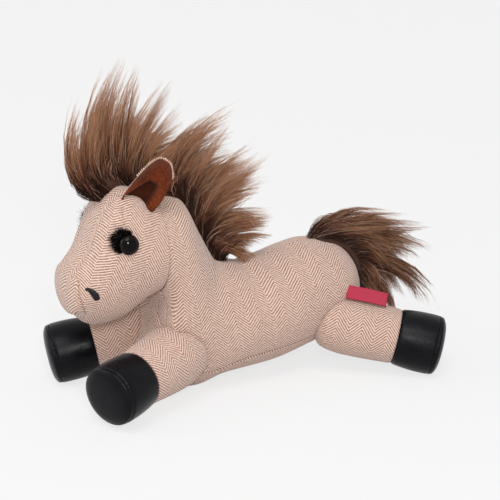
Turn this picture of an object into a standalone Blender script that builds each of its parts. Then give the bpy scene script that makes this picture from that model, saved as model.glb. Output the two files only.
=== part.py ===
"""Plush horse lying on its belly: sewn cloth covers over stuffing, leather hooves, strips of long pile.

The horse faces -X, stands on Z = 0 and is drawn round the mid plane Y = 0. Its left side is -Y.
Each limb, the head, the ears and the tail have their pivot at their own empty.
"""

import math

import bmesh
import bpy
import numpy as np
from mathutils import Matrix, Vector
from mathutils.bvhtree import BVHTree

for old in list(bpy.data.objects):
    bpy.data.objects.remove(old)

MM = 0.001

# Cloth, leather and clearances
CLOTH = 1.2 * MM
LEATHER = 1.4 * MM
GAP = 0.3 * MM
REST_CUT = 0.5 * MM
OVERRUN = 20 * MM

# Seam ring between the head and the neck, and the point that the head turns about
SEAM_X = -77.5 * MM
SEAM_Z = 112 * MM
SEAM_RADIUS = 35.5 * MM
HEAD_PIVOT_X = -96 * MM

# Torso
CHEST_X = -88 * MM
BODY_LENGTH = 174 * MM
BODY_WIDTH = 78 * MM
WITHERS_X = -28 * MM
WITHERS_Z = 92 * MM
RUMP_Z = 96 * MM
RUMP_END_Z = 54 * MM

# Head
HEAD_LENGTH = 68 * MM
HEAD_TOP_Z = 158 * MM
JAW_Z = 58.5 * MM
HEAD_WIDTH = 70 * MM
NOSE_Z = 86 * MM
FACE_PANEL_WIDTH = 26 * MM

# Legs: where the ball of each root sits, its radius, how far the sole seam is, how far it points outwards
SHOULDER_X = -70 * MM
SHOULDER_Y = 26 * MM
SHOULDER_Z = 34 * MM
SHOULDER_RADIUS = 23 * MM
FRONT_REACH = 69 * MM
FRONT_LEFT_TURN = 26
FRONT_RIGHT_TURN = 14
FRONT_LEFT_LIFT = 4.5 * MM
HIP_X = 60 * MM
HIP_Y = 26 * MM
HIP_Z = 36 * MM
HIP_RADIUS = 21.5 * MM
HIND_REACH = 71 * MM
HIND_TURN = 29

# Hooves
HOOF_LENGTH = 28.5 * MM
HOOF_TOP_RADIUS = 20.3 * MM
HOOF_SOLE_RADIUS = 21.8 * MM
SOLE_DEPTH = 6 * MM

# Eyes
EYE_RADIUS = 7.2 * MM
EYE_HEIGHT = 4.2 * MM
EYE_STEM_RADIUS = 2.4 * MM
EYE_STEM_LENGTH = 13 * MM
EYE_X = -106.5 * MM
EYE_Z = 124.5 * MM
WASHER_RADIUS = 8 * MM
WASHER_THICKNESS = 1.4 * MM
LASH_WIDTH = 6 * MM
LASH_THICKNESS = 1.2 * MM

# Nostrils
NOSTRIL_X = -131.5 * MM
NOSTRIL_Z = 90 * MM
NOSTRIL_LENGTH = 10 * MM
NOSTRIL_RADIUS = 1.9 * MM
NOSTRIL_THICKNESS = 1.6 * MM

# Ears
EAR_WIDTH = 25 * MM
EAR_HEIGHT = 41 * MM
EAR_CUP = 7 * MM
EAR_FRONT_X = -105 * MM
EAR_FRONT_Y = 15 * MM
EAR_REAR_X = -84 * MM
EAR_REAR_Y = 22 * MM
EAR_OUT = 12
LINING_INSET = 1.5 * MM

# Fur strips
FUR_THICKNESS = 19 * MM
FUR_LIFT = 0.9 * MM
FORELOCK_LENGTH = 76 * MM
MANE_LENGTH = 78 * MM
TAIL_LENGTH = 80 * MM
TAIL_THICKNESS = 26 * MM

# Side label
LABEL_LENGTH = 30 * MM
LABEL_WIDTH = 10 * MM
LABEL_THICKNESS = 1.2 * MM
LABEL_X = 63 * MM
LABEL_Z = 62 * MM

# Facets
AROUND = 24
LIMB_AROUND = 16
STUFFING_AROUND = 12
BALL_AROUND = 28
STEPS = 2
BACK_RINGS = 5
NOSTRIL_AROUND = 8
NUDGE = 0.01

# How far each ring of the neck lies from the seam ring towards the shoulder: upper point, lower point, width
NECK_SHARES = (
    (0, 0, 0, 0, 0),
    (0.42, 0.10, -0.12, 0.163, 0.25),
    (0.70, 0.55, 0.49, 0.40, 0.5),
    (0.87, 0.85, 1, 0.634, 0.7),
    (1, 1, 0.06, 0.93, 0.85),
)
# Rings of the torso: upper point along and up, lower point along and up, width,
# as shares of the length, the rump height and the width
TORSO_SHARES = (
    (0.46, 0.915, 0.20, 0, 0.97),
    (0.58, 0.925, 0.33, 0.0625, 1),
    (0.68, 0.975, 0.56, 0.10, 0.98),
    (0.77, 1, 0.74, 0.18, 0.91),
)
# Rings of the head: upper point along and up, lower point along and up, width
HEAD_SHARES = (
    (0.11, 0.915, 0.11, 0.155, 1.03),
    (0.22, 0.985, 0.228, 0.10, 1.01),
    (0.375, 1, 0.39, 0.03, 1),
    (0.53, 0.935, 0.551, 0, 0.95),
    (0.64, 0.80, 0.684, 0.002, 0.86),
    (0.757, 0.61, 0.794, 0.035, 0.76),
    (0.89, 0.485, 0.882, 0.095, 0.68),
)
# Angles of the two belly seams, counted from the top of the back, at each ring of neck and torso
BELLY_SEAM_DEGREES = (152, 146, 138, 132, 128, 126, 124, 124, 130)
SOLE_SHARES = ((0.45, 0.94), (0.80, 0.74), (0.96, 0.42))
DOME_DEGREES = (30, 54, 75)
EYE_DOME_DEGREES = (90, 72, 54, 34, 16)
BALL_DEGREES = (77, 60, 42, 24)
# Radius along a leg, from the ball at its root to the top of the hoof
LEG_SHARES = ((0.05, 1.0), (0.32, 1.0), (0.62, 0.6), (0.84, 0.22))
# Cross-section of a fur strip: how far up the pile, and how wide
PILE_SHARES = ((0, 0.45), (0.10, 0.85), (0.34, 1), (0.66, 0.78), (0.90, 0.36))
TAIL_PILE_SHARES = ((0, 0.06), (0.06, 0.5), (0.30, 0.9), (0.62, 1), (0.88, 0.5))
# Where the forelock's pile ends, from its root: along and up, as shares of its length
FORELOCK_SHARES = ((-0.35, 0.70), (-0.21, 0.97), (-0.105, 1.07), (0.04, 1.01))
MANE_SHARES = ((0.08, 0.99), (0.23, 0.79), (0.38, 0.74), (0.44, 0.56), (0.37, 0.31))
TAIL_SHARES = ((0.69, 0.176), (0.87, 0.06), (0.889, -0.099), (0.79, -0.275), (0.61, -0.396))
# Up an ear: height, half width, how deep it is cupped there and how far it leans back
EAR_SHARES = (
    (-0.15, 0.94, 0.15, 0),
    (0, 0.96, 0.2, 0),
    (0.2, 1, 0.55, 0.04),
    (0.4, 0.94, 0.85, 0.08),
    (0.6, 0.82, 1, 0.12),
    (0.76, 0.65, 0.8, 0.13),
    (0.89, 0.43, 0.5, 0.10),
    (0.965, 0.22, 0.25, 0.05),
)
EAR_TIP_SHARE = 0.02
# Along the nostril: thickness, how far to the front and how far up
NOSTRIL_SHARES = (
    (0.3, 0.6, 0.42),
    (0.5, 0.32, 0.42),
    (0.8, 0.02, 0.2),
    (1, -0.24, -0.14),
    (0.75, -0.38, -0.5),
)
LABEL_WAY_SHARES = (0.88, -0.42, -0.22)
LABEL_ACROSS_SHARES = (0, 0.6, 0.8)
EAR_COLUMNS = 6
FUR_SECTIONS = 9
# Where the strips of fur are sewn on, counted in rings of the form that carries them
FORELOCK_RINGS = (4.3, 0.55)
MANE_RINGS = (0.35, 4.3)
TAIL_RINGS = (8.1, 11)


def material(name, colour, roughness):
    made = bpy.data.materials.new(name)
    made.use_nodes = True
    shader = made.node_tree.nodes["Principled BSDF"]
    shader.inputs["Base Color"].default_value = (*colour, 1)
    shader.inputs["Roughness"].default_value = roughness
    shader.inputs["Metallic"].default_value = 0
    return made


def solid(name, points, faces, finish, parent=None):
    """One closed object, faces outwards. A head piece is drawn in place and kept from the head's pivot."""
    shift = HEAD_PLACE if parent and parent.name == HEAD_EMPTY_NAME else Vector()
    mesh = bpy.data.meshes.new(name)
    mesh.from_pydata([Vector(p) - shift for p in points], [], faces)
    shape = bmesh.new()
    shape.from_mesh(mesh)
    bmesh.ops.remove_doubles(shape, verts=shape.verts, dist=NUDGE * GAP)
    bmesh.ops.recalc_face_normals(shape, faces=shape.faces)
    shape.to_mesh(mesh)
    shape.free()
    mesh.materials.append(finish)
    mesh.shade_smooth()
    mesh.set_sharp_from_angle(angle=math.radians(50))
    made = bpy.data.objects.new(name, mesh)
    made.parent = parent
    bpy.context.scene.collection.objects.link(made)
    return made


def pivot(name, place, turn=(0, 0, 0)):
    made = bpy.data.objects.new(name, None)
    made.location = place
    made.rotation_euler = turn
    made.empty_display_size = SOLE_DEPTH
    bpy.context.scene.collection.objects.link(made)
    return made


def as_cutter(made):
    made.hide_render = True
    made.display_type = "WIRE"
    return made


def boolean(made, other, operation="DIFFERENCE"):
    change = made.modifiers.new(other.name, "BOOLEAN")
    change.operation = operation
    change.solver = "EXACT"
    change.object = other


def box(name, low, high):
    """A cutter between two corners."""
    corners = [(x, y, z) for z in (low[2], high[2]) for y in (low[1], high[1]) for x in (low[0], high[0])]
    faces = [(0, 2, 3, 1), (4, 5, 7, 6), (0, 1, 5, 4), (2, 6, 7, 3), (0, 4, 6, 2), (1, 3, 7, 5)]
    return as_cutter(solid(name, corners, faces, CUTTER))


def ball(name, centre, radius, count=AROUND):
    """A round cutter with its poles above and below."""
    shape = bmesh.new()
    bmesh.ops.create_uvsphere(shape, u_segments=count, v_segments=count // 2, radius=radius)
    mesh = bpy.data.meshes.new(name)
    shape.to_mesh(mesh)
    shape.free()
    made = bpy.data.objects.new(name, mesh)
    made.location = centre
    bpy.context.scene.collection.objects.link(made)
    return as_cutter(made)


def between(start, end, share):
    return start + (end - start) * share


class Loft:
    """A stuffed form through rings, each an ellipse between an upper and a lower point of the mid plane."""

    def __init__(self, rows, tip):
        self.rows = np.array(rows, float)
        self.end = np.array(tip, float)
        centre = self.centre(self.rows[-1])
        domes = []
        for degrees in DOME_DEGREES:
            share, size = math.sin(math.radians(degrees)), math.cos(math.radians(degrees))
            middle = between(centre, self.end, share)
            half = (self.rows[-1][:2] - self.rows[-1][2:4]) / 2 * size
            domes.append((*(middle + half), *(middle - half), self.rows[-1][4] * size))
        self.rows = np.array([*rows, *domes])
        self.last = len(self.rows) - 1

    @staticmethod
    def centre(row):
        return (row[:2] + row[2:4]) / 2

    def row(self, s):
        """The ring at any place between two given rings, on a smooth curve through them all."""
        at = min(int(s), self.last - 1)
        t = s - at
        a, b = self.rows[at], self.rows[at + 1]
        before = self.rows[at - 1] if at > 0 else 2 * a - b
        after = self.rows[at + 2] if at + 2 <= self.last else 2 * b - a
        curve = -before + 3 * a - 3 * b + after
        bend = 2 * before - 5 * a + 4 * b - after
        return (2 * a + t * (b - before) + t * t * bend + t * t * t * curve) / 2

    def raw(self, s, phi):
        row = self.row(s)
        middle = self.centre(row)
        half = (row[:2] - row[2:4]) / 2 * math.cos(phi)
        return np.array((middle[0] + half[0], -row[4] * math.sin(phi), middle[1] + half[1]))

    def normal(self, s, phi):
        low, high = max(s - NUDGE, 0), min(s + NUDGE, self.last)
        along = self.raw(high, phi) - self.raw(low, phi)
        around = self.raw(s, phi + NUDGE) - self.raw(s, phi - NUDGE)
        out = np.cross(along, around)
        out /= np.linalg.norm(out)
        middle = self.centre(self.row(s))
        way = self.raw(s, phi) - np.array((middle[0], 0, middle[1]))
        return out if out @ way > 0 else -out

    def point(self, s, phi, grow=0):
        return self.raw(s, phi) + grow * self.normal(s, phi)

    def tip(self, grow=0):
        back = self.centre(self.rows[-1])
        way = (self.end - back) / np.linalg.norm(self.end - back)
        place = self.end + grow * way
        return np.array((place[0], 0, place[1]))

    def places(self, first=0, last=None):
        last = self.last if last is None else last
        return [first + k / STEPS for k in range(int((last - first) * STEPS) + 1)]

    def grid(self, spots, columns, grow):
        """Points on each ring at the given angles. The angles may differ from ring to ring."""
        return np.array([[self.point(s, phi, grow) for phi in columns(s)] for s in spots])


def all_round(count):
    return lambda s: [2 * math.pi * k / count for k in range(count)]


def grid_faces(rows, columns, start, wrap):
    ends = columns if wrap else columns - 1
    faces = []
    for i in range(rows - 1):
        for j in range(ends):
            k = (j + 1) % columns
            here = start + i * columns
            faces.append((here + j, here + k, here + columns + k, here + columns + j))
    return faces


def closed_form(name, grid, finish, parent=None, first_tip=None, last_tip=None):
    """A solid through rings of points. An end without a tip point is closed by one flat face."""
    rows, columns = grid.shape[:2]
    points = list(grid.reshape(-1, 3))
    faces = grid_faces(rows, columns, 0, True)
    for tip, start in ((first_tip, 0), (last_tip, (rows - 1) * columns)):
        ring = [start + j for j in range(columns)]
        if tip is None:
            faces.append(tuple(ring))
        else:
            points.append(tip)
            faces += [(ring[j], ring[(j + 1) % columns], len(points) - 1) for j in range(columns)]
    return solid(name, points, faces, finish, parent)


def cloth(name, outer, inner, finish, parent=None, tips=None, wrap=False):
    """A sheet with thickness between two grids. tips closes its last ring at a point."""
    rows, columns = outer.shape[:2]
    points = [*outer.reshape(-1, 3), *inner.reshape(-1, 3)]
    under = rows * columns
    faces = grid_faces(rows, columns, 0, wrap) + grid_faces(rows, columns, under, wrap)
    ends = columns if wrap else columns - 1
    last = (rows - 1) * columns
    rims = [0] if tips else [0, last]
    for start in rims:
        for j in range(ends):
            k = (j + 1) % columns
            faces.append((start + j, start + k, under + start + k, under + start + j))
    if tips:
        points += list(tips)
        for start, tip in ((last, len(points) - 2), (under + last, len(points) - 1)):
            faces += [(start + j, start + (j + 1) % columns, tip) for j in range(ends)]
    if not wrap:
        for j in (0, columns - 1):
            for i in range(rows - 1):
                here, there = i * columns + j, (i + 1) * columns + j
                faces.append((here, there, under + there, under + here))
            if tips:
                faces.append((last + j, len(points) - 2, len(points) - 1, under + last + j))
    return solid(name, points, faces, finish, parent)


def body_rows():
    """Rings from the seam on the neck, round the shoulder and back along the torso."""
    seam = (SEAM_X, SEAM_Z + SEAM_RADIUS, SEAM_X, SEAM_Z - SEAM_RADIUS, SEAM_RADIUS)
    shoulder = (WITHERS_X, WITHERS_Z, CHEST_X, 0, BODY_WIDTH / 2)
    rows = [[between(a, b, share) for a, b, share in zip(seam, shoulder, shares)] for shares in NECK_SHARES]
    for top_along, top_up, low_along, low_up, width in TORSO_SHARES:
        top = (CHEST_X + top_along * BODY_LENGTH, top_up * RUMP_Z)
        low = (CHEST_X + low_along * BODY_LENGTH, low_up * RUMP_Z - REST_CUT)
        rows.append([*top, *low, width * BODY_WIDTH / 2])
    return rows


def head_rows():
    """Rings from the seam on the neck, forward and down to the nose."""
    rows = [[SEAM_X, SEAM_Z + SEAM_RADIUS, SEAM_X, SEAM_Z - SEAM_RADIUS, SEAM_RADIUS]]
    height = HEAD_TOP_Z - JAW_Z
    for top_along, top_up, low_along, low_up, width in HEAD_SHARES:
        top = (SEAM_X - top_along * HEAD_LENGTH, JAW_Z + top_up * height)
        low = (SEAM_X - low_along * HEAD_LENGTH, JAW_Z + low_up * height)
        rows.append([*top, *low, width * HEAD_WIDTH / 2])
    return rows


def belly_seam(s):
    """Angle of the belly seam at a ring. Past the last listed ring the gusset has run out to a point."""
    if s >= len(BELLY_SEAM_DEGREES) - 1:
        share = min(s - len(BELLY_SEAM_DEGREES) + 1, 2) / 2
        return math.radians(between(BELLY_SEAM_DEGREES[-1], 180, share))
    at = int(s)
    return math.radians(between(BELLY_SEAM_DEGREES[at], BELLY_SEAM_DEGREES[at + 1], s - at))


def make_torso():
    """Two side panels and a belly gusset over the stuffing of torso and neck."""
    spots = BODY.places()
    half = AROUND // 2
    for side, name in ((-1, "body_panel_left"), (1, "body_panel_right")):

        def columns(s):
            return [belly_seam(s) * k / half for k in range(half + 1)]

        outer, inner = BODY.grid(spots, columns, 0), BODY.grid(spots, columns, -CLOTH)
        tips = [BODY.tip(), BODY.tip(-CLOTH)]
        for points in (outer.reshape(-1, 3), inner.reshape(-1, 3), *tips):
            points[..., 1] *= -side
            points[..., 1] += side * GAP / 2
        cloth(name, outer, inner, TWEED, None, tips)
    across = AROUND // 3

    def belly(s):
        edge = belly_seam(s) + GAP / BODY.row(s)[4]
        return [between(edge, 2 * math.pi - edge, k / across) for k in range(across + 1)]

    spots = BODY.places(0, len(BELLY_SEAM_DEGREES) + 1 / STEPS)
    cloth("belly_gusset", BODY.grid(spots, belly, 0), BODY.grid(spots, belly, -CLOTH), TWEED)
    inside = -CLOTH - 2 * GAP
    core = BODY.grid(BODY.places(), all_round(STUFFING_AROUND), inside)
    closed_form("body_stuffing", core, STUFFING, None, None, BODY.tip(inside))


def make_head():
    """Side panels and a face panel cut from one cover, over stuffing with a round back in the neck."""
    cover = []
    for name in ("head_panel_left", "head_panel_right", "face_panel"):
        spots = HEAD.places()
        outer, inner = (HEAD.grid(spots, all_round(AROUND), grow) for grow in (0, -CLOTH))
        cover.append(cloth(name, outer, inner, TWEED, HEAD_EMPTY, [HEAD.tip(), HEAD.tip(-CLOTH)], True))
    reach, edge = HEAD_LENGTH * 2, FACE_PANEL_WIDTH / 2
    low, high = (SEAM_X - reach, 0), (SEAM_X + reach, HEAD_TOP_Z + reach)
    slabs = (
        box("left_slab", (low[0], -reach, low[1]), (high[0], -edge - GAP / 2, high[1])),
        box("right_slab", (low[0], edge + GAP / 2, low[1]), (high[0], reach, high[1])),
        box("face_slab", (low[0], -edge + GAP / 2, low[1]), (high[0], edge - GAP / 2, high[1])),
    )
    for piece, slab in zip(cover, slabs):
        boolean(piece, slab, "INTERSECT")
    inside = -CLOTH - 2 * GAP
    core = HEAD.grid(HEAD.places(), all_round(STUFFING_AROUND), inside)[::-1]
    radius = seat_radius() - GAP
    lip = math.acos((SEAM_X + GAP - HEAD_PIVOT_X) / radius)
    rings = [(SEAM_X + GAP, SEAM_RADIUS + inside)]
    for k in range(BACK_RINGS):
        angle = lip * (1 - k / BACK_RINGS)
        rings.append((HEAD_PIVOT_X + radius * math.cos(angle), radius * math.sin(angle)))
    turns = all_round(STUFFING_AROUND)(0)
    back = [[(x, -size * math.sin(phi), SEAM_Z + size * math.cos(phi)) for phi in turns] for x, size in rings]
    grid = np.concatenate([core, np.array(back)])
    tip = (HEAD_PIVOT_X + radius, 0, SEAM_Z)
    closed_form("head_stuffing", grid, STUFFING, HEAD_EMPTY, HEAD.tip(inside), tip)
    return cover


def seat_radius():
    """Radius of the round seat between head and neck: the seam ring lies on it."""
    return math.hypot(SEAM_X - HEAD_PIVOT_X, SEAM_RADIUS)


def leg_pitch(height, reach, radius):
    """How far a leg points down, so that its sole's edge ends the given height below the ball of its root."""
    return math.asin(height / math.hypot(reach, radius)) - math.atan2(radius, reach)


def turned_grid(profile, count, grow=0, seams=()):
    """Rings about local X from (place, radius) pairs, grown along the profile's normal, at seams inwards."""
    profile = np.array(profile)
    slopes = np.gradient(profile, axis=0)
    slopes /= np.linalg.norm(slopes, axis=1)[:, None]
    normals = np.stack([-slopes[:, 1], slopes[:, 0]], axis=1)
    for k in seams:
        normals[k] = (0, 1)
    moved = profile + grow * normals
    turns = [2 * math.pi * k / count for k in range(count)]
    rings = [[(x, -r * math.sin(t), r * math.cos(t)) for t in turns] for x, r in moved]
    return np.array(rings)


def leg_profile(radius, top):
    """The ball at the root, then a swelling that tapers to the top of the hoof."""
    rows = [(-radius * math.sin(math.radians(d)), radius * math.cos(math.radians(d))) for d in BALL_DEGREES]
    for along, size in LEG_SHARES:
        rows.append((along * top, between(HOOF_TOP_RADIUS, radius, size)))
    rows.append((top, HOOF_TOP_RADIUS))
    return rows


def make_leg(name, place, radius, reach, turn, lift=0):
    """A cover and its stuffing, and the hoof's band and sole. turn is the direction of the leg about Z."""
    pitch = leg_pitch(place[2] + REST_CUT - lift, reach, HOOF_SOLE_RADIUS)
    empty = pivot(f"{name}_pivot", place, (0, pitch, turn))
    top = reach - HOOF_LENGTH
    profile = leg_profile(radius, top - GAP / 2)
    outer = turned_grid(profile, LIMB_AROUND)
    inner = turned_grid(profile, LIMB_AROUND, -CLOTH, (-1,))
    tips = [np.array((-radius, 0, 0)), np.array((-radius + CLOTH, 0, 0))]
    cover = cloth(f"{name}_cover", outer[::-1], inner[::-1], TWEED, empty, tips, True)
    inside = -max(CLOTH, LEATHER) - GAP
    whole = [*profile, (between(top, reach, 0.5), between(HOOF_TOP_RADIUS, HOOF_SOLE_RADIUS, 0.5))]
    whole += [(reach, HOOF_SOLE_RADIUS)]
    whole += [(reach + share * SOLE_DEPTH, size * HOOF_SOLE_RADIUS) for share, size in SOLE_SHARES]
    core = turned_grid(whole, LIMB_AROUND, inside)
    tips = [(-radius - inside, 0, 0), (reach + SOLE_DEPTH + inside, 0, 0)]
    stuffing = closed_form(f"{name}_stuffing", core, STUFFING, empty, *tips)
    band_rows = [(top + GAP / 2, HOOF_TOP_RADIUS), *whole[len(profile):-len(SOLE_SHARES) - 1]]
    band_rows += [(reach - GAP / 2, HOOF_SOLE_RADIUS)]
    band = cloth(f"{name}_hoof_band", turned_grid(band_rows, LIMB_AROUND),
                 turned_grid(band_rows, LIMB_AROUND, -LEATHER, (0, -1)), BLACK, empty, None, True)
    sole_rows = [(reach + GAP / 2, HOOF_SOLE_RADIUS), *whole[-len(SOLE_SHARES):]]
    tips = [np.array((reach + SOLE_DEPTH, 0, 0)), np.array((reach + SOLE_DEPTH - LEATHER, 0, 0))]
    sole = cloth(f"{name}_hoof_sole", turned_grid(sole_rows, LIMB_AROUND),
                 turned_grid(sole_rows, LIMB_AROUND, -LEATHER, (0,)), BLACK, empty, tips, True)
    seat = ball(f"{name}_seat", place, radius + 2 * GAP)
    for piece in (cover, stuffing):
        boolean(piece, BODY_ROOM)
    for piece in (band, sole, stuffing):
        boolean(piece, FLOOR)
    boolean(BODY_ROOM, ball(f"{name}_root_room", place, radius + GAP))
    return seat


def surface(loft):
    """The outside of a form, for finding places on it."""
    grid = loft.grid(loft.places(), all_round(AROUND), 0)
    rows, columns = grid.shape[:2]
    points = [Vector(p) for p in grid.reshape(-1, 3)]
    return BVHTree.FromPolygons(points, grid_faces(rows, columns, 0, True))


def side_place(tree, x, z):
    """The point of the left side at a length and a height, and the way out of the surface there."""
    place, out, _, _ = tree.ray_cast(Vector((x, -BODY_LENGTH, z)), Vector((0, 1, 0)))
    return place, out if out.y < 0 else -out


def frame_of(place, out, side):
    """A matrix with local X out of the surface and local Z upwards. side mirrors it to the right."""
    place, out = Vector(place), Vector(out)
    if side > 0:
        place.y, out.y = -place.y, -out.y
    across = Vector((0, 0, 1)).cross(out).normalized()
    turn = Matrix((out, across, out.cross(across))).transposed()
    return Matrix.Translation(place) @ turn.to_4x4()


def moved(grid, frame):
    return np.array([[frame @ Vector(p) for p in row] for row in grid])


def turned_form(name, profile, finish, frame, parent, count):
    """A solid turned about the frame's X axis, with a point on the axis at both ends."""
    grid = moved(turned_grid(profile[1:-1], count), frame)
    tips = [frame @ Vector((place, 0, 0)) for place in (profile[0][0], profile[-1][0])]
    return closed_form(name, grid, finish, parent, *tips)


def turned_loop(name, low, high, inside, outside, finish, frame, parent, count):
    """A flat ring turned about the frame's X axis."""
    grid = turned_grid([(low, inside), (low, outside), (high, outside), (high, inside)], count)
    grid = moved(grid, frame)
    columns = grid.shape[1]
    faces = grid_faces(4, columns, 0, True)
    last = 3 * columns
    faces += [(last + j, last + (j + 1) % columns, (j + 1) % columns, j) for j in range(columns)]
    return solid(name, grid.reshape(-1, 3), faces, finish, parent)


def make_eyes(cover):
    """Domed eyes whose stems pass through the cover into a lock washer, each with a strip of lashes."""
    place, out = side_place(HEAD_SURFACE, EYE_X, EYE_Z)
    washer_top = -CLOTH - GAP - WASHER_RADIUS ** 2 / HEAD_WIDTH
    washer_low = washer_top - WASHER_THICKNESS
    for side, name in ((-1, "left"), (1, "right")):
        frame = frame_of(place, out, side)
        dome = [(GAP + EYE_HEIGHT * math.sin(math.radians(d)), EYE_RADIUS * math.cos(math.radians(d)))
                for d in EYE_DOME_DEGREES]
        profile = [*dome, (GAP, EYE_RADIUS), (GAP, EYE_STEM_RADIUS), (-EYE_STEM_LENGTH, EYE_STEM_RADIUS)]
        profile.append((-EYE_STEM_LENGTH, 0))
        turned_form(f"eye_{name}", profile, GLOSS, frame, HEAD_EMPTY, AROUND // 2)
        hole = EYE_STEM_RADIUS + GAP
        turned_loop(f"eye_washer_{name}", washer_low, washer_top, hole, WASHER_RADIUS,
                    WHITE_PLASTIC, frame, HEAD_EMPTY, AROUND // 2)
        deep, wide = -EYE_STEM_LENGTH - GAP, WASHER_RADIUS + GAP
        step = washer_low - GAP
        room = [(deep, 0), (deep, hole), (step, hole), (step, wide), (OVERRUN, wide), (OVERRUN, 0)]
        pocket = as_cutter(turned_form(f"pocket_{name}", room, CUTTER, frame, None, AROUND // 2))
        shaft = [(deep, 0), (deep, hole), (OVERRUN, hole), (OVERRUN, 0)]
        boolean(bpy.data.objects["head_stuffing"], pocket)
        boolean(cover[0 if side < 0 else 1], as_cutter(
            turned_form(f"stem_hole_{name}", shaft, CUTTER, frame, None, AROUND // 2)))
        make_lashes(f"eyelashes_{name}", place, out, side)


def on_head(frame, height, angle, radius, side):
    """A point over the head's surface, at an angle round a frame's X axis, with the way out there."""
    flat = frame @ Vector((0, side * radius * math.cos(angle), radius * math.sin(angle)))
    found, out, _, _ = HEAD_SURFACE.find_nearest(flat)
    if out.dot(frame.to_3x3() @ Vector((1, 0, 0))) < 0:
        out = -out
    return found + out * height


def make_lashes(name, place, out, side):
    """A crescent of short pile that lies on the cover along the upper front of the eye."""
    frame = frame_of(place, out, side)
    angles = [math.radians(d) for d in range(-30, 121, 15)]
    grids = []
    for height in (GAP, GAP + LASH_THICKNESS):
        rows = []
        for k, angle in enumerate(angles):
            width = LASH_WIDTH * math.sin(math.pi * (k + 1) / (len(angles) + 1))
            radii = (EYE_RADIUS + GAP, EYE_RADIUS + GAP + width / 2, EYE_RADIUS + GAP + width)
            rows.append([on_head(frame, height, angle, radius, side) for radius in radii])
        grids.append(np.array(rows))
    cloth(name, grids[1], grids[0], THREAD, HEAD_EMPTY)


def make_nostrils():
    """A satin stitched drop on each side of the muzzle, thin at the front and full at the back."""
    place, out = side_place(HEAD_SURFACE, NOSTRIL_X, NOSTRIL_Z)
    for side, name in ((-1, "left"), (1, "right")):
        frame = frame_of(place, out, side)
        path = [(share, NOSTRIL_LENGTH * along, NOSTRIL_LENGTH * up) for share, along, up in NOSTRIL_SHARES]
        outs, spots = [], []
        for size, along, up in path:
            angle, radius = math.atan2(up, along), math.hypot(along, up)
            low = on_head(frame, GAP, angle, radius, side)
            high = on_head(frame, GAP + NOSTRIL_THICKNESS * size, angle, radius, side)
            outs.append((high - low) / 2)
            spots.append((low + high) / 2)
        rings = []
        for k, (size, _, _) in enumerate(path):
            ahead = spots[min(k + 1, len(path) - 1)] - spots[max(k - 1, 0)]
            across = ahead.cross(outs[k]).normalized() * NOSTRIL_RADIUS * size
            turns = all_round(NOSTRIL_AROUND)(0)
            rings.append([spots[k] + outs[k] * math.cos(t) + across * math.sin(t) for t in turns])
        closed_form(f"nostril_{name}", np.array(rings), THREAD, HEAD_EMPTY)


def make_ears():
    """Cupped ears with a cloth back and a suede lining, each on its own pivot along the base."""
    for side, name in ((-1, "left"), (1, "right")):
        ends = []
        for x, y in ((EAR_FRONT_X, EAR_FRONT_Y), (EAR_REAR_X, EAR_REAR_Y)):
            above = Vector((x, side * y, HEAD_LENGTH + HEAD_TOP_Z))
            ends.append(HEAD_SURFACE.ray_cast(above, Vector((0, 0, -1)))[0])
        base = ends[1] - ends[0]
        lean, face = math.atan2(-base.z, math.hypot(base.x, base.y)), math.atan2(base.y, base.x)
        middle = (ends[0] + ends[1]) / 2 - HEAD_PLACE
        empty = pivot(f"ear_{name}_pivot", middle, (math.radians(-side * EAR_OUT), lean, face))
        empty.parent = HEAD_EMPTY
        layers = (("back", TWEED, GAP / 2, 0), ("lining", SUEDE, -GAP / 2 - CLOTH, LINING_INSET))
        for part, finish, near, inset in layers:
            sheets = [ear_sheet(side, near + depth, inset) for depth in (0, CLOTH)]
            (outer, outer_tip), (inner, inner_tip) = sheets
            made = cloth(f"ear_{name}_{part}", outer, inner, finish, empty, [outer_tip, inner_tip])
            boolean(made, HEAD_ROOM)


def ear_sheet(side, depth, inset):
    """One face of an ear in its pivot's own space: X along the base, Z up the ear, hollow on the outside."""
    rows = []
    for up, wide, cup, shift in EAR_SHARES:
        row = []
        for k in range(EAR_COLUMNS + 1):
            u = 2 * k / EAR_COLUMNS - 1
            hollow = (cup - EAR_SHARES[0][2]) * EAR_CUP * (1 - u * u)
            x = u * (wide * EAR_WIDTH / 2 - inset) + shift * EAR_WIDTH
            row.append((x, -side * (hollow + depth), up * (EAR_HEIGHT - inset)))
        rows.append(row)
    tip = (EAR_TIP_SHARE * EAR_WIDTH, -side * depth, EAR_HEIGHT - inset)
    return np.array(rows), np.array(tip)


def fur_strip(name, loft, rings, reach, length, thickness, pile, parent):
    """A ridge of pile along the middle of a form: roots on its top line, ends where the hair reaches."""
    spots = np.linspace(*rings, FUR_SECTIONS)
    places = np.linspace(0, len(reach) - 1, FUR_SECTIONS)
    along = np.interp(places, range(len(reach)), [r[0] for r in reach]) * length
    up = np.interp(places, range(len(reach)), [r[1] for r in reach]) * length
    sections = []
    for s, x, z in zip(spots, along, up):
        root, way = loft.point(s, 0, FUR_LIFT), np.array((x, 0, z))
        half = [(q, w * thickness / 2) for q, w in pile]
        left = [root + way * q - np.array((0, w, 0)) for q, w in half]
        right = [root + way * q + np.array((0, w, 0)) for q, w in reversed(half)]
        sections.append([*left, root + way, *right])
    return closed_form(name, np.array(sections), FUR, parent)


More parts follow.
